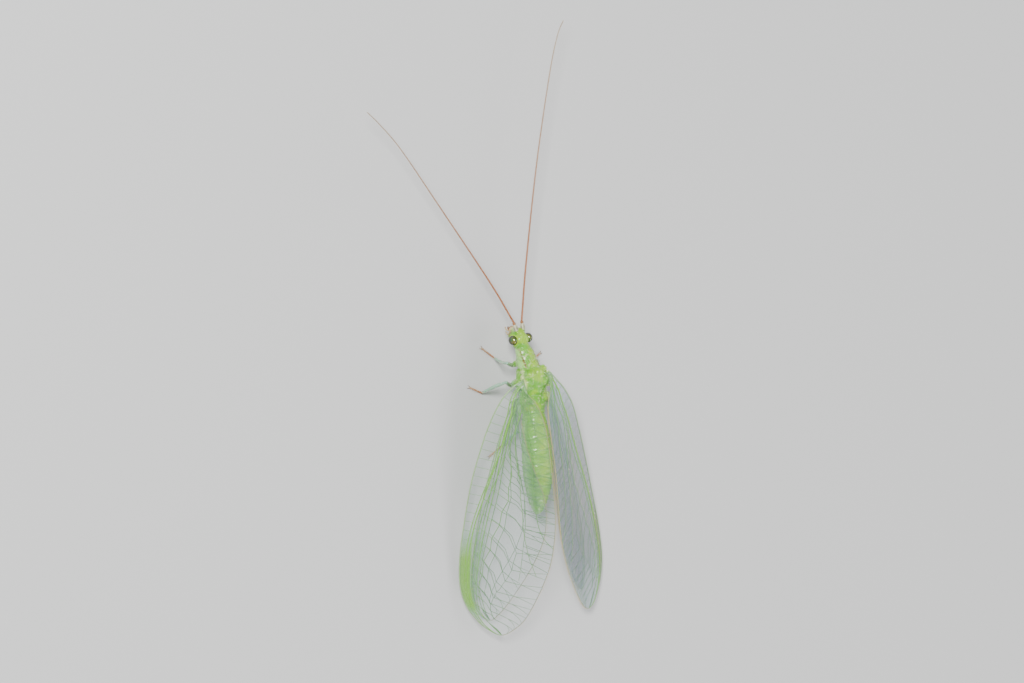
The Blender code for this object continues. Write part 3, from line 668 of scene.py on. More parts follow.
def add_head(shape):
    for place, radii in (((0, 0.06, 0.02), (0.52, 0.40, 0.50)),      # the head's case
                         ((0, 0.04, 0.32), (0.40, 0.34, 0.20)),      # vertex
                         ((0, -0.24, 0.20), (0.27, 0.24, 0.20)),     # the rise behind the scapes
                         ((0, -0.30, -0.10), (0.36, 0.32, 0.42)),    # face
                         ((0, -0.44, -0.46), (0.25, 0.18, 0.26)),    # clypeus
                         ((0, 0.36, 0.02), (0.50, 0.26, 0.42))):     # back of the head
        shape.add(*ball(HEAD + np.array(place), radii))
    for side in SIDES.values():
        shape.add(*ball(HEAD + np.array((side * 0.33, -0.14, -0.32)), (0.19, 0.26, 0.32)))
        shape.add(*ball(HEAD + np.array((side * SCAPE_SPREAD, -0.48, 0.04)), (0.15, 0.16, 0.15)))
    neck = np.array((HEAD + (0, 0.30, 0.0), (0.09, -2.55, 1.98), (0.05, -2.30, 2.05)))
    shape.add(*tube(resampled(neck, 8), np.linspace(0.42, 0.44, 8), 20))


def add_coxae(shape):
    for joints in LEGS.values():
        shape.add(*tube(resampled(joints[:2], 8), np.linspace(0.27, 0.15, 8), 16))
        shape.add(*ball(joints[1], (0.15, 0.15, 0.14)))


def remeshed(shape):
    """The pieces of a shape fused into one smooth skin, still in millimetres."""
    mesh = bpy.data.meshes.new("skin_form")
    mesh.from_pydata(np.vstack(shape.vertices).tolist(), [], shape.faces)
    form = new_object("skin_form", mesh)
    fuse = form.modifiers.new("fuse", "REMESH")
    fuse.mode = "VOXEL"
    fuse.voxel_size = SKIN_VOXEL
    relax = form.modifiers.new("relax", "SMOOTH")
    relax.factor = 0.5
    relax.iterations = 7
    bpy.context.view_layer.update()
    fused = bpy.data.meshes.new_from_object(form.evaluated_get(bpy.context.evaluated_depsgraph_get()))
    points = np.empty(len(fused.vertices) * 3)
    fused.vertices.foreach_get("co", points)
    normals = np.empty(len(fused.vertices) * 3)
    fused.vertices.foreach_get("normal", normals)
    faces = [tuple(face.vertices) for face in fused.polygons]
    bpy.data.objects.remove(form)
    return points.reshape(-1, 3), normals.reshape(-1, 3), faces


def noise_field(points, scale, seed=0.0):
    shift = Vector((seed, seed, seed))
    return np.array([noise.noise(Vector(point) * scale + shift) for point in points])


def sculpt_skin(points, normals):
    """Furrows, creases and fine swellings, as offsets along the normals."""
    x, y, z = points.T
    row, across, up = body_shares(points)
    from_head = points - HEAD
    above = z > row[:, 1]
    front = (y > -2.55) & (y < -1.40)
    thorax = (y > -1.40) & (y < 1.15)
    behind = y > 1.15
    on_head = y < -2.60
    wobble = noise_field(points, 1.1) * 0.10
    offset = np.zeros(len(points))
    for end in SEGMENT_ENDS:
        from_edge = y - end - 0.10 * across ** 2 + wobble * 0.5
        step = np.where(from_edge < 0, bell(from_edge, 0.16), 0.0) * 0.020
        offset += (step - bell(from_edge - 0.03, 0.055) * 0.050) * behind
    creases = np.sin((y + wobble * 1.5) * 2 * math.pi / 0.24)
    offset += creases * 0.007 * limited(up + 0.3) * behind
    side_fold = behind & (y < 6.9)
    furrows = (                             # where, distance from its line, width, depth
        (side_fold, up + 0.12 + wobble * 0.4, 0.10, 0.040),
        (side_fold, up + 0.42 + wobble * 0.4, 0.08, -0.030),
        (front, y + 1.78 + 0.10 * across ** 2, 0.06, 0.045),
        (front, y + 2.18 - 0.08 * across ** 2, 0.05, 0.022),
        (front & above, across, 0.10, 0.018),
        (thorax & above, x - THORAX_MIDDLE, 0.06, 0.030),
        (z > 1.8, y + 1.38, 0.05, 0.050),
        (True, y - 0.20 - 0.12 * across ** 2, 0.05, 0.045),
        (True, y - 1.14, 0.06, 0.040),
        (on_head & (from_head[:, 2] > 0.2), from_head[:, 0], 0.05, 0.014),
        (on_head & (from_head[:, 1] < -0.2), from_head[:, 2] + 0.32, 0.04, 0.030),
    )
    for where, distance, width, depth in furrows:
        offset -= bell(distance, width) * depth * where
    offset += noise_field(points, 4.4, 2.0) * 0.030 * thorax
    fine = noise_field(points, 3.0, 5.0) * 0.014 + noise_field(points, 7.0, 9.0) * 0.006
    offset += fine * np.where(thorax, 3.0, 1.0)
    return points + normals * offset[:, None]


def skin_tints(points):
    """The skin's colours, each laid over those before it."""
    x, y, z = points.T
    row, across, up = body_shares(points)
    from_head = points - HEAD
    cloud = noise_field(points, 1.6, 3.0)
    speck = noise_field(points, 6.5, 8.0)
    head = limited((-2.55 - y) / 0.1)
    front = limited((-1.38 - y) / 0.1) * limited((y + 2.62) / 0.1)
    thorax = limited((y + 1.42) / 0.1) * limited((1.2 - y) / 0.1)
    abdomen = limited((y - 1.1) / 0.3)
    legs = limited((1.75 - z) * 3) * limited((1.2 - y) * 4) * (1 - head)
    patches = 0.45 + 0.55 * limited(cloud * 2.5 + bell(y - 4.6, 1.2) * 0.8)
    wing_roots = bell(np.abs(x - THORAX_MIDDLE) - 0.92, 0.16) * np.clip(up - 0.35, 0, 0.4) * 2.2
    speckle = limited(speck * 4 - 1.1) * limited((y + 2.6) / 0.1) * limited((1.2 - y) / 0.3)
    stripe = bell(np.abs(x - row[:, 0]) - STRIPE_SPREAD, STRIPE_WIDTH) * (up > 0) * front
    face = limited((-0.35 - from_head[:, 1]) * 5) * limited((0.1 - from_head[:, 2]) * 5)
    layers = [
        (YELLOW_GREEN, bell(across, 0.55) * limited(up) * abdomen * patches * 0.75),
        (MILKY, bell(up - 0.02, 0.30) * abdomen * 0.9),
        (MILKY * 0.9 + 0.03, limited(-up - 0.3) * abdomen),
    ]
    layers += [(MILKY, bell(y - end - 0.04, 0.06) * abdomen * 0.35) for end in SEGMENT_ENDS]
    layers += [
        (YELLOW_GREEN, front * np.clip(cloud * 3 + 0.1, 0, 0.7)),
        (MILKY * 1.15, front * limited((np.abs(across) - 0.74) * 6) * (up > -0.6)),
        (YELLOW_GREEN, thorax * np.clip(cloud * 2.5 + 0.1, 0, 0.5) * (up > 0.2)),
        (LEAF, thorax * np.clip(-cloud * 3, 0, 0.5)),
        (MILKY, thorax * limited(-up) * 0.6),
        (CREAM, wing_roots * thorax),
        (CREAM, speckle * 0.60),
        (RED_BROWN, stripe * limited(1.0 + cloud * 0.8)),
        (LEAF * 1.15, head * limited(from_head[:, 2] * 3) * np.clip(-cloud * 3, 0, 0.6)),
        (YELLOW_GREEN, head * np.clip(cloud * 3 + 0.25, 0, 0.55)),
    ]
    for side in SIDES.values():
        eye = (points - eye_middle(side)) / (EYE_RADII * 1.05)
        cheek = (from_head - (side * 0.42, -0.28, -0.42)) / 0.17
        layers += [
            (YELLOW_GREEN * 1.15, head * bell(np.linalg.norm(eye, axis=1) - 1.0, 0.16) * 0.85),
            (RED_BROWN, head * bell(np.linalg.norm(cheek, axis=1), 1.0) * 0.85),
        ]
    layers += [(CREAM, head * face * 0.75), (PALE_LEG, legs * 0.7)]
    tint = np.broadcast_to(GREEN, points.shape)
    for colour, share in layers:
        tint = blend(tint, colour, share)
    return tint


def make_skin(finishes):
    """Head, thorax, abdomen and coxae as one skin, whose points and normals it returns."""
    form = Shape()
    add_body_loft(form)
    add_thorax_lobes(form)
    add_head(form)
    add_coxae(form)
    points, normals, faces = remeshed(form)
    points = sculpt_skin(points, normals)
    skin = Shape()
    skin.add(points, faces, tint=skin_tints(points))
    nodes = ["head", "prothorax", "mesothorax", "metathorax"]
    nodes += [f"abdomen_{length}" for length in ("front", "middle", "end")]
    nodes += [f"{pair}_coxa_{side}" for pair, side in LEGS]
    make_piece("body_skin", skin, [finishes["skin"]], nodes)
    return points, normals


def make_body_hair(points, normals, finishes):
    """Short pale hairs, densest on the pronotum and the end of the abdomen, and longest on the pronotum.
    """
    _, y, z = points.T
    row = body_at(y)
    weight = 0.25 + 0.8 * bell(y + 2.0, 0.6) + 0.5 * limited((y - 5.2) / 2)
    weight = np.where(y < -2.6, 0.10, weight)
    weight[z < 1.0] = 0.0
    picked = RANDOM.choice(len(points), BODY_HAIRS, replace=False, p=weight / weight.sum())
    roots, out = points[picked], normals[picked]
    back = np.array((0.0, 1.0, 0.0))
    lean = unit(out + back * 0.75 + RANDOM.normal(0, 0.15, out.shape))
    lengths = RANDOM.uniform(0.05, 0.10, len(roots)) + 0.02 * bell(roots[:, 1] + 2.0, 0.5)
    hairs = spikes(roots - out * 0.01, lean, lengths, HAIR_RADII["body"], back)
    turn = np.arctan2(roots[:, 0] - row[picked, 0], roots[:, 2] - row[picked, 1])
    places = 0.02 + 0.95 * np.stack((turn / (2 * math.pi) + 0.5, (roots[:, 1] + 4) / 12), 1)
    make_coat("body_hair", hairs, places, finishes["hair"])


def make_eyes(finishes):
    for side, sign in SIDES.items():
        eye = Shape()
        eye.add(*ball(eye_middle(sign), EYE_RADII, columns=48, rows=32))
        make_piece(f"eye_ball_{side}", eye, [finishes["eye"]], [f"eye_{side}"])


def make_mouthparts(finishes):
    mouth = Shape()
    cream, brown = np.array((0.55, 0.45, 0.24)), np.array((0.22, 0.10, 0.04))
    for place, radii, tint in (((0, -0.50, -0.70), (0.22, 0.12, 0.16), cream),
                               ((0, -0.50, -0.88), (0.17, 0.10, 0.14), brown),
                               ((0, -0.40, -0.92), (0.15, 0.12, 0.18), cream)):
        mouth.add(*ball(HEAD + np.array(place), radii), tint=tint)
    for side in SIDES.values():
        for reach, drop, back in ((0.34, -1.00, -0.50), (0.22, -1.14, -0.18)):
            root = HEAD + (side * 0.12, -0.42, -0.72)
            elbow = HEAD + (side * (reach + 0.02), back * 0.9, drop * 0.80)
            tip = HEAD + (side * reach, back - 0.14, drop)
            line = resampled(curve_through((root, elbow, tip), 8), 34)
            along = np.linspace(0, 1, len(line))
            knots = np.abs(np.sin(along * math.pi * 4)) ** 0.35
            radii = (0.050 - 0.014 * along) * (0.62 + 0.38 * knots)
            radii[-3:] *= (0.9, 0.65, 0.3)
            mouth.add_tube(line, radii, 10, blend(cream[None], brown, (knots < 0.6) * 0.6 + along * 0.3))
        jaw = HEAD + ((side * 0.20, -0.44, -0.74), (side * 0.20, -0.56, -0.92),
                      (side * 0.04, -0.60, -1.00))
        jaw = resampled(curve_through(jaw, 6), 14)
        mouth.add(*tube(jaw, np.linspace(0.075, 0.012, len(jaw)), 10), tint=brown)
    make_piece("mouth", mouth, [finishes["mouth"]], ["mouthparts"])


def make_scape(side, finishes):
    """The feeler's thick first length with a knob at its end, and the place where the whip starts."""
    root = HEAD + SCAPE_ROOT + (SIDES[side] * SCAPE_SPREAD, 0, 0)
    ahead = unit(FEELERS[side][0] - root)
    rings, sides = 22, 18
    line = resampled((root, root + ahead * 0.42), rings)
    along = np.linspace(0, 1, rings)
    radii = 0.135 * (0.55 + 0.45 * np.sin(np.clip(along * 1.35 + 0.25, 0, 1.45) * math.pi / 1.55)) + 0.02
    radii[-3:] *= (0.93, 0.8, 0.5)
    turns = np.arange(sides) * 2 * math.pi / sides
    bands = sum(bell(np.sin((turns - middle) / 2), 0.15) for middle in (0.3, 1.5, 2.7, 3.9))
    dark = bands[None] * bell(along - 0.45, 0.42)[:, None]
    tint = blend(np.broadcast_to(SCAPE_PALE, (rings, sides, 3)), SCAPE_DARK, dark)
    scape = Shape()
    scape.add(*tube(line, radii, sides), tint=tint.reshape(-1, 3))
    knob = resampled((line[-2], line[-2] + ahead * 0.17), 10)
    scape.add(*tube(knob, (0.07, 0.085, 0.095, 0.10, 0.10, 0.098, 0.092, 0.085, 0.07, 0.05), 14),
              tint=(0.300, 0.120, 0.035))
    make_piece(f"scape_skin_{side}", scape, [finishes["feeler"]], [f"scape_{side}"])
    return knob[-2]


def make_feeler(side, start, finishes):
    """The whip of many ringlets, each with whorls of short hairs."""
    route = curve_through(np.vstack((start, FEELERS[side][1:])), 24)
    count = int(line_length(route) / RINGLET_LENGTH)
    rings = 6
    line = resampled(route, count * rings + 1)
    along = np.linspace(0, 1, len(line))
    phase = (np.arange(len(line)) % rings) / rings
    swell = 1 + 0.05 * np.sin(phase * math.pi) - 0.07 * (phase == 0)
    radii = (0.060 - 0.032 * along ** 0.9) * swell
    radii[-4:] *= (0.95, 0.85, 0.65, 0.3)
    colour = blend(FEELER_ORANGE[None], FEELER_PALE, limited(along * 1.25 - 0.25) * 0.9)
    colour = blend(colour, colour * 0.45, (phase == 0) * 0.8)
    whip = Shape()
    whip.add_tube(line, radii, 8, colour)
    make_piece(f"feeler_skin_{side}", whip, [finishes["feeler"]],
               [f"feeler_{side}_{number}" for number in (1, 2, 3)])
    ahead, across, up = frames_along(line)
    roots, leans, places = [], [], []
    for ringlet in range(count):
        for share in (1, 3, 5):
            at = ringlet * rings + share
            for turn in np.arange(5) * 2 * math.pi / 5 + ringlet * 0.7 + share:
                out = across[at] * math.cos(turn) + up[at] * math.sin(turn)
                roots.append(line[at] + out * radii[at] * 0.9)
                leans.append(unit(out * 0.8 + ahead[at]))
                places.append((turn / (2 * math.pi) % 1 * 0.95, at / len(line) * 0.95))
    leans = np.array(leans)
    hairs = spikes(np.array(roots), leans, RANDOM.uniform(0.06, 0.095, len(roots)), HAIR_RADII["feeler"],
                   leans * 0)
    make_coat(f"feeler_hair_{side}", hairs, places, finishes["hair"])


def make_leg(pair, side, finishes):
    """Thigh, shank, a foot of five joints with its pad and claws, and the hairs on them."""
    trochanter, knee, ankle, toe = (np.array(joint) for joint in LEGS[pair, side][1:])
    bow = unit(np.cross(ankle - knee, (0, 0, 1.0)))
    leg = Shape()
    hair_roots, hair_leans, hair_places = [], [], []

    def limb(points, radii, tints, sides=14, hairs=0):
        """Radii and tints each start with their place, as a share of the length."""
        line = resampled(curve_through(points, 10), LIMB_POINTS)
        along = np.linspace(0, 1, LIMB_POINTS)
        thick = smooth_rows(radii, along)[:, 0]
        colours = smooth_rows([(place, *colour) for place, colour in tints], along)
        leg.add_tube(line, thick, sides, colours)
        ahead, across, up = frames_along(line)
        for _ in range(hairs):
            at = RANDOM.integers(1, LIMB_POINTS - 1)
            turn = RANDOM.uniform(0, 2 * math.pi)
            out = across[at] * math.cos(turn) + up[at] * math.sin(turn)
            root, lean = line[at] + out * thick[at] * 0.92, unit(out * 0.75 + ahead[at])
            if root[2] + lean[2] * 0.15 < 0.01:
                continue
            hair_roots.append(root)
            hair_leans.append(lean)
            height = 7 - points[0][2] + at / LIMB_POINTS
            hair_places.append((turn / (2 * math.pi) * 0.95, height / 8))

    sag = np.array((0, 0, -0.06))
    limb((trochanter + (trochanter - knee) * 0.06, (trochanter + knee) / 2 + sag, knee),
         ((0, 0.09), (0.10, 0.105), (0.45, 0.112), (0.85, 0.092), (1, 0.078)),
         ((0, GREEN_LEG), (0.5, GREEN_LEG), (1, PALE_LEG)), hairs=110)
    swell = 0.112 if pair == "middle" else 0.084
    limb((knee, (knee * 2 + ankle) / 3 + bow * 0.07, (knee + ankle * 2) / 3 + bow * 0.05, ankle),
         ((0, 0.076), (0.08, 0.082), (0.30, swell), (0.60, swell * 0.92), (0.9, 0.066), (1, 0.062)),
         ((0, PALE_LEG), (0.6, PALE_LEG), (0.88, PALE_LEG * 0.9), (1, FOOT_ORANGE)), hairs=170)
    leg.add(*ball(knee, (0.080, 0.080, 0.080), columns=14, rows=10), tint=PALE_LEG)
    toe_line = resampled((ankle, toe + (0, 0, -0.02)), 6)
    toe_line[:, 2] = np.linspace(ankle[2], 0.062, 6)
    for step in range(5):
        start, end = toe_line[step], toe_line[step + 1]
        tint = blend(FOOT_ORANGE, FOOT_WHITE, 0.35 * step / 4)
        limb((start, (start + end) / 2, end), ((0, 0.042), (0.7, 0.056), (0.92, 0.062), (1, 0.045)),
             ((0, tint * 0.9), (1, tint)), sides=12, hairs=22)
    ahead = unit(toe_line[-1] - toe_line[-2])
    flat_side = unit(np.cross(ahead, (0, 0, 1.0)))
    # The pad's cream white is partly its own pale colour and partly a painted glint.
    leg.add(*ball(toe_line[-1] + ahead * 0.05 + (0, 0, -0.012), (0.06, 0.06, 0.034), columns=12, rows=8),
            tint=(0.55, 0.50, 0.38))
    hair_leans = np.array(hair_leans)
    hairs = spikes(np.array(hair_roots), hair_leans, RANDOM.uniform(0.07, 0.15, len(hair_roots)),
                   HAIR_RADII["leg"], hair_leans * 0)
    nodes = [f"{pair}_{part}_{side}" for part in ("femur", "tibia", "tarsus")]
    make_piece(f"{pair}_leg_{side}", leg, [finishes["leg"]], nodes)
    make_coat(f"{pair}_leg_hair_{side}", hairs, hair_places, finishes["hair"])
    claws = Shape()
    for sign in SIDES.values():
        base = toe_line[-1] + ahead * 0.03 + flat_side * sign * 0.02
        hook = (base, base + ahead * 0.09 + flat_side * sign * 0.06 + (0, 0, 0.02),
                base + ahead * 0.15 + flat_side * sign * 0.05 + (0, 0, -0.035))
        claws.add(*tube(resampled(curve_through(hook, 6), 12), np.linspace(0.022, 0.004, 12), 8))
    make_piece(f"{pair}_claws_{side}", claws, [finishes["claw"]])


# Wing surfaces, veins and hairs

CLEAR = np.array((0.42, 0.58, 0.54))
STIGMA = np.array((0.260, 0.500, 0.070))
VEIN_TINTS = {
    "costa": np.array((0.260, 0.410, 0.190)), "rim": np.array((0.340, 0.330, 0.160)),
    "bright": np.array((0.170, 0.430, 0.040)), "main": np.array((0.130, 0.340, 0.060)),
    "cross": np.array((0.070, 0.230, 0.045)), "dot": np.array((0.520, 0.520, 0.120)),
    "root": np.array((0.260, 0.420, 0.200)), "web": np.array((0.300, 0.430, 0.270)),
}


def roof_height(x, y):
    rows = smooth_rows(ROOF, y)
    return rows[:, 0] + (rows[:, 1] - rows[:, 0]) * x / ROOF_EDGE


class Wing:
    """A wing's surface, addressed by shares of its length and width."""

    def __init__(self, kind, side):
        self.kind, self.side, self.sign = kind, side, SIDES[side] * SPREAD[side]
        tip, corners = OUTLINES[kind, side]
        line = curve_through(corners, 12)
        self.front = resampled(line[:tip * 12 + 1], MARGIN_POINTS)
        self.hind = resampled(line[tip * 12:][::-1], MARGIN_POINTS)
        self.lines = LINES[kind]

    def plan(self, length, width):
        """Places seen from above."""
        at = limited(length) * (MARGIN_POINTS - 1)
        places = np.arange(MARGIN_POINTS)
        front = np.stack([np.interp(at, places, self.front[:, axis]) for axis in (0, 1)], 1)
        hind = np.stack([np.interp(at, places, self.hind[:, axis]) for axis in (0, 1)], 1)
        return front + (hind - front) * width[:, None]

    def line_width(self, name, length):
        """Where a long vein lies, as a share of the width."""
        return smooth_rows(self.lines[name], length)[:, 0]

    def relief(self, length, width):
        """Pleats: veins alternate between ridges and furrows, and the cells between them sag."""
        fade = np.clip(1.15 - length, 0.15, 1)
        high = bell(width - self.line_width("radius", length), 0.05) * 0.07
        low = bell(width - self.line_width("subcosta", length), 0.045) * 0.05
        inner = bell(width - self.line_width("inner", length), 0.06) * 0.035
        outer = bell(width - self.line_width("outer", length), 0.07) * 0.03
        return (high - low + inner + outer - 0.02) * fade

    def surface(self, length, width):
        """Points on the wing, and its normals there."""
        length, width = np.broadcast_arrays(np.asarray(length, float), np.asarray(width, float))
        length, width = length.ravel(), width.ravel()
        plan = self.plan(length, width)
        x, y = plan.T
        step = 0.05
        rise_x = (roof_height(x + step, y) - roof_height(x - step, y)) / (2 * step)
        rise_y = (roof_height(x, y + step) - roof_height(x, y - step)) / (2 * step)
        normal = unit(np.stack((-rise_x, -rise_y, np.ones_like(x)), 1))
        middle = np.stack((x, y, roof_height(x, y) - STACK[self.kind] / normal[:, 2]), 1)
        points = middle + normal * self.relief(length, width)[:, None]
        points[:, 0] *= self.sign
        normal[:, 0] *= np.sign(self.sign)
        return points, normal


def closed_sheet(rows, columns, flip):
    """Faces of a thin sheet: its upper grid, its lower one, and the walls between them."""
    count = rows * columns
    index = np.arange(count).reshape(rows, columns)
    quads = np.stack((index[:-1, :-1], index[1:, :-1], index[1:, 1:], index[:-1, 1:]), -1).reshape(-1, 4)
    rim = np.concatenate((index[:, 0], index[-1, 1:], index[::-1, -1][1:], index[0, ::-1][1:]))
    walls = np.stack((rim[:-1], rim[1:], rim[1:] + count, rim[:-1] + count), 1)
    if flip:
        quads = quads[:, ::-1]
    else:
        walls = walls[:, ::-1]
    return np.concatenate((quads, quads[:, ::-1] + count, walls))


def make_membrane(wing, finishes):
    """The clear sheet, with the green mark near the tip between its front margin and the sector."""
    rows, columns = MEMBRANE_GRID
    length = np.linspace(0, WING_END, rows)[:, None] * np.ones(columns)
    width = np.ones(rows)[:, None] * np.linspace(0, 1, columns)
    points, normals = wing.surface(length, width)
    faces = closed_sheet(rows, columns, wing.sign < 0)
    length, width = length.ravel(), width.ravel()
    edge = wing.line_width("sector", np.clip(length, 0.3, 0.9)) * 0.94
    mark = limited((length - 0.52) / 0.14) * limited((0.90 - length) / 0.07)
    mark *= limited((edge - width) / 0.012)
    if wing.kind == "hindwing":
        mark *= 0.6
    tint = blend(np.broadcast_to(CLEAR, points.shape), STIGMA, mark)
    tint = np.concatenate((tint, mark[:, None] * 0.54), 1)
    sheet = Shape()
    sheet.add(np.vstack((points + normals * MEMBRANE, points - normals * MEMBRANE)), faces,
              tint=np.vstack((tint, tint)))
    make_piece(f"{wing.kind}_membrane_{wing.side}", sheet, [finishes["membrane"]],
               [f"{wing.kind}_{wing.side}"])


def vein(net, wing, route, radii, tint, sides=6):
    """A vein that runs straight over the wing between the places of a route."""
    route = np.asarray(route, float)
    stretches = []
    for start, end in zip(route, route[1:]):
        ends, _ = wing.surface((start[0], end[0]), (start[1], end[1]))
        count = max(2, int(np.linalg.norm(ends[1] - ends[0]) / VEIN_STEP))
        stretches.append(start + (end - start) * (np.arange(count) / count)[:, None])
    places = np.vstack(stretches + [route[-1:]])
    points, _ = wing.surface(places[:, 0], places[:, 1])
    thick = np.interp(np.linspace(0, 1, len(points)), np.linspace(0, 1, len(radii)), radii)
    net.add(*tube(points, thick, sides), tint=tint)


def long_vein(net, wing, name, radii, tint):
    """A vein all along one of the wing's lines."""
    rows = np.array(wing.lines[name])
    length = np.linspace(rows[0, 0], rows[-1, 0], 60)
    vein(net, wing, np.stack((length, wing.line_width(name, length)), 1), radii, tint, 8)


def cross_vein(net, wing, start, end, radius, tint):
    """A vein whose ends are (share of the length, a long vein's name or a share of the width)."""
    route = []
    for length, name in (start, end):
        width = wing.line_width(name, np.array([length]))[0] if isinstance(name, str) else name
        route.append((length, width))
    vein(net, wing, route, (radius, radius), tint, 5)


def make_veins(wing, finishes):
    """All veins of a wing, as one piece."""
    size = 1.0 if wing.kind == "forewing" else 0.85
    net = Shape()
    margin = np.linspace(0, WING_END, 110)
    straight = np.zeros_like(margin)
    vein(net, wing, np.stack((margin, straight), 1), np.array((.048, .040, .034, .028)) * size,
         VEIN_TINTS["costa"], 8)
    vein(net, wing, np.stack((margin, straight + 1), 1), np.array((.020, .022, .022, .020)) * size,
         VEIN_TINTS["rim"], 8)
    for name, radii, tint in (("subcosta", (.034, .034, .028, .016), "bright"),
                              ("radius", (.046, .042, .034, .022), "bright"),
                              ("sector", (.028, .030, .024, .016), "main"),
                              ("media", (.032, .028), "main"),
                              ("cubitus", (.030, .026, .018), "main"),
                              ("anal", (.028, .024, .016), "main"),
                              ("hind_anal", (.024, .015), "main")):
        long_vein(net, wing, name, np.array(radii) * size, VEIN_TINTS[tint])
    add_branches(net, wing, size)
    add_cross_veins(net, wing)
    add_wing_root(net, wing, size)
    make_piece(f"{wing.kind}_veins_{wing.side}", net, [finishes["vein"]])


def add_branches(net, wing, size):
    """The zigzag inner line, the outer line, the gradate row, and the branches that join them."""
    runs = np.array(BRANCH_RUNS[wing.kind])
    inner, second, width, end = runs.T
    turns = np.where(np.arange(len(runs)) % 2, ZIGZAG, -ZIGZAG)
    inner_width = wing.line_width("inner", inner) + turns
    on_sector = inner - 0.035
    sector_width = wing.line_width("sector", on_sector)
    main, dark = VEIN_TINTS["main"], VEIN_TINTS["cross"]
    media_end = wing.lines["media"][-1]
    inner_route = np.vstack((media_end, np.stack((inner, inner_width), 1)))
    vein(net, wing, inner_route, np.array((.027, .025, .021, .016)) * size, main, 7)
    rows = wing.lines["outer"]
    long_vein(net, wing, "outer", np.array((.026, .024, .020, .014)) * size, main)
    vein(net, wing, (media_end, rows[0]) if wing.kind == "hindwing" else rows[:2], (.024, .024), main)
    for number in range(len(runs)):
        start = (on_sector[number], sector_width[number])
        middle = (inner[number], inner_width[number])
        outer = (second[number], width[number])
        vein(net, wing, (start, middle), (.015, .015), main, 5)
        bow = ((middle[0] * 0.55 + outer[0] * 0.45) - 0.006, middle[1] * 0.45 + outer[1] * 0.55)
        vein(net, wing, (middle, bow, outer), (.017, .015, .015), dark, 5)
        fork = (outer[0] + (end[number] - outer[0]) * 0.45, outer[1] + (1 - outer[1]) * 0.45)
        vein(net, wing, (outer, fork), (.015, .014), dark, 5)
        for reach in (-0.011, 0.013):
            vein(net, wing, (fork, (min(end[number] + reach, 0.994), 1.0)), (.013, .011), dark, 5)
        if number and (wing.kind == "hindwing" or outer[1] < 0.60):
            before = (second[number - 1], width[number - 1])
            step = ((before[0] + outer[0]) / 2 + 0.012, (before[1] + outer[1]) / 2 - 0.01)
            vein(net, wing, (before, step, outer), (.015, .015), dark, 5)


def add_cross_veins(net, wing):
    """The cross veins, with a yellow dot where one from the radius meets the sector."""
    kind = wing.kind
    main, dark = VEIN_TINTS["main"], VEIN_TINTS["cross"]
    for number in range(COSTAL_CROSSVEINS[kind]):
        at = 0.035 + 0.86 * (number + 0.5) / COSTAL_CROSSVEINS[kind]
        cross_vein(net, wing, (at - 0.004, 0.0), (at, "subcosta"), 0.012, main)
    for number in range(RADIAL_CROSSVEINS[kind]):
        at = 0.15 + 0.74 * (number + 0.5) / RADIAL_CROSSVEINS[kind]
        cross_vein(net, wing, (at, "radius"), (at + 0.008, "sector"), 0.013, main)
        place = wing.surface(at + 0.008, wing.line_width("sector", np.array([at + 0.008])))[0][0]
        net.add(*ball(place, (0.034, 0.034, 0.026), columns=8, rows=6), tint=VEIN_TINTS["dot"])
    for start, end, reach, places in CROSS_VEINS[kind]:
        for at in places:
            cross_vein(net, wing, (at, start), (at + reach, end), 0.014, dark)
    for number in range(5):
        at = 0.905 + 0.016 * number
        width = wing.line_width("sector", np.array([at]))[0]
        goal = (min(at + 0.052, 0.995), width + 0.16 + 0.03 * number)
        vein(net, wing, ((at, width), goal), (.014, .011), dark, 5)


def add_wing_root(net, wing, size):
    """The veins' own roots, which gather on the side of the thorax, and the web between them."""
    out, start, spread, height = WING_ROOTS[wing.kind]
    names = ["subcosta", "radius", "media", "cubitus", "anal", "hind_anal"]
    lines = []
    for width in [0.0] + [wing.lines[name][0][1] for name in names]:
        first, second = wing.surface((0.0, 0.02), width)[0]
        body = np.array((out * np.sign(wing.sign) - 0.08, start + width * spread, height))
        between = body * 0.4 + first * 0.6 - unit(second - first) * 0.04
        line = resampled(curve_through((body, between, first, second), 5), ROOT_POINTS)
        share = np.linspace(0, 1, ROOT_POINTS)
        thick = np.interp(share, (0, 0.5, 1), (.058, .046, .034)) * size
        tint = blend(VEIN_TINTS["root"][None], VEIN_TINTS["main"], share)
        net.add_tube(line, thick, 8, tint)
        lines.append(line)
    web = np.stack(lines, 1).reshape(-1, 3)
    half = np.array((0.0, 0.0, WEB))
    net.add(np.vstack((web + half, web - half)), closed_sheet(ROOT_POINTS, len(lines), wing.sign < 0),
            tint=VEIN_TINTS["web"])


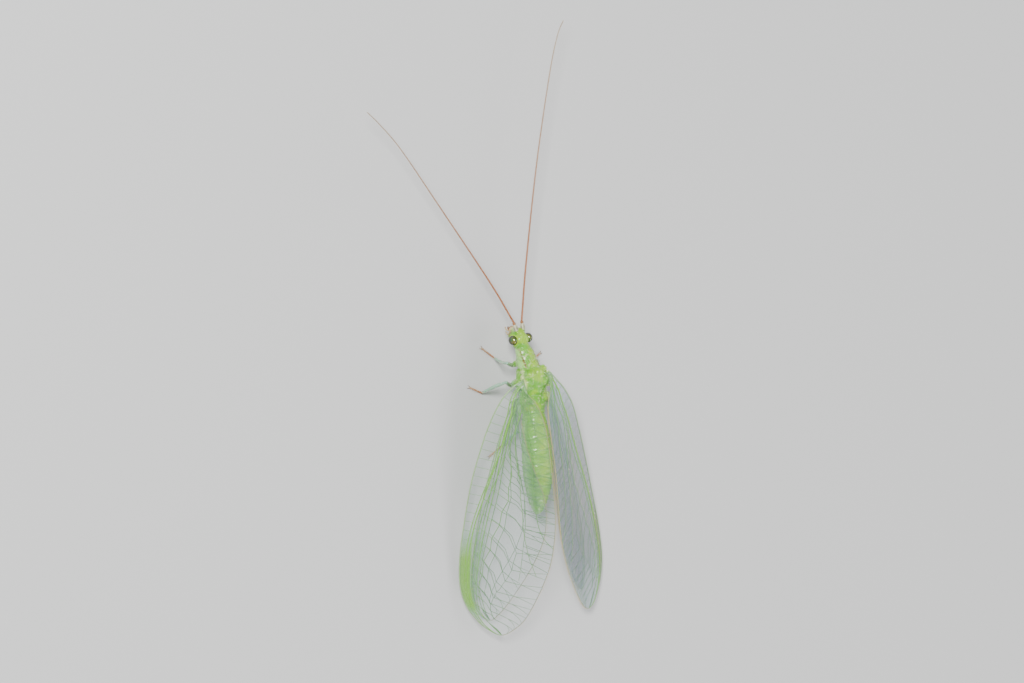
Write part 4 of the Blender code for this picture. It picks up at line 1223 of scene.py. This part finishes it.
def make_fringe(wing, finishes):
    """Fine hairs on the margins and along the main veins."""
    fringe = Shape()
    for margin, width, spacing, lengths, outward in ((wing.front, 0.0, 0.085, (0.05, 0.10), -1.0),
                                                     (wing.hind, 1.0, 0.060, (0.10, 0.20), 1.0)):
        count = int(line_length(margin) / spacing)
        length = (np.arange(count) + RANDOM.uniform(0.2, 0.8, count)) / count * 0.985
        points, normals = wing.surface(length, np.full(count, width))
        inside, _ = wing.surface(length, np.full(count, width - 0.03 * outward))
        later, _ = wing.surface(np.clip(length + 0.01, 0, 0.999), np.full(count, width))
        out = unit(points - inside)
        along = unit(later - points)
        tilt = normals * RANDOM.uniform(-0.5, 0.15, (count, 1))
        lean = unit(out + along * 0.55 + tilt)
        roots = points + out * 0.02
        hairs = spikes(roots, lean, RANDOM.uniform(*lengths, count), HAIR_RADII["margin"], along * 0.3)
        places = np.stack((length * 0.95, np.full(count, width * 0.95)), 1)
        fringe.add(*hairs, slot=1, patch=hair_patches(places))
    for name, count, low in (("subcosta", 90, 0.02), ("radius", 90, 0.02), ("sector", 80, 0.12),
                             ("inner", 70, 0.15), ("outer", 70, 0.12)):
        length = RANDOM.uniform(low, 0.93, count)
        width = wing.line_width(name, length)
        points, normals = wing.surface(length, width)
        later, _ = wing.surface(length + 0.01, width)
        lean = unit(normals + unit(later - points) * 0.7 + RANDOM.normal(0, 0.2, normals.shape))
        lengths = RANDOM.uniform(0.05, 0.09, count)
        hairs = spikes(points + normals * 0.03, lean, lengths, HAIR_RADII["vein"], lean * 0)
        fringe.add(*hairs, patch=hair_patches(np.stack((length, width), 1) * 0.95))
    make_piece(f"{wing.kind}_fringe_{wing.side}", fringe, [finishes["hair"], finishes["gold_hair"]])


def make_wings(finishes):
    for kind, side in OUTLINES:
        wing = Wing(kind, side)
        make_membrane(wing, finishes)
        make_veins(wing, finishes)
        make_fringe(wing, finishes)


# Stage, lights and camera

FLOOR_HALF = 0.6                        # in metres
LIGHTS = (                              # name, place in metres, size in metres, power in watts
    ("key", (0.14, -0.10, 0.20), 0.07, 1.20),
    ("fill", (-0.18, 0.02, 0.14), 0.18, 0.25),
    ("rim", (-0.04, 0.20, 0.10), 0.10, 0.30),
)


def make_stage():
    mesh = bpy.data.meshes.new("floor")
    corners = [(x * FLOOR_HALF, y * FLOOR_HALF, 0) for x, y in ((-1, -1), (1, -1), (1, 1), (-1, 1))]
    mesh.from_pydata(corners, [], [(0, 1, 2, 3)])
    floor = new_object("floor", mesh)
    mesh.materials.append(blank("floor", (0.55, 0.55, 0.54), 0.7)[0])
    world = bpy.data.worlds.new("studio")
    world.use_nodes = True
    tree = world.node_tree
    set_up(tree, tree.nodes["Background"], Color=(0.90, 0.93, 1.0, 1.0), Strength=0.38)
    bpy.context.scene.world = world


def make_light(name, place, size, power):
    """A round lamp that points at the origin."""
    data = bpy.data.lights.new(name, "AREA")
    data.shape = "DISK"
    data.size = size
    data.energy = power
    lamp = new_object(name, data)
    lamp.location = place
    lamp.rotation_mode = "QUATERNION"
    lamp.rotation_quaternion = (-Vector(place)).to_track_quat("-Z", "Y")


def make_camera():
    data = bpy.data.cameras.new("camera")
    data.sensor_width = 36.0
    data.lens = CAMERA_LENS
    data.clip_start = 0.001
    data.clip_end = 10.0
    camera = new_object("camera", data)
    turn = Matrix((CAMERA_RIGHT, CAMERA_UP, CAMERA_BACK)).transposed()
    place = (np.array(CAMERA_PLACE) - ORIGIN) * MM
    camera.matrix_world = Matrix.Translation(Vector(place)) @ turn.to_4x4()
    bpy.context.scene.camera = camera


def main():
    finishes = make_finishes()
    points, normals = make_skin(finishes)
    make_body_hair(points, normals, finishes)
    make_eyes(finishes)
    make_mouthparts(finishes)
    for side in SIDES:
        make_feeler(side, make_scape(side, finishes), finishes)
    for pair, side in LEGS:
        make_leg(pair, side, finishes)
    make_wings(finishes)
    make_stage()
    for light in LIGHTS:
        make_light(*light)
    make_camera()


main()
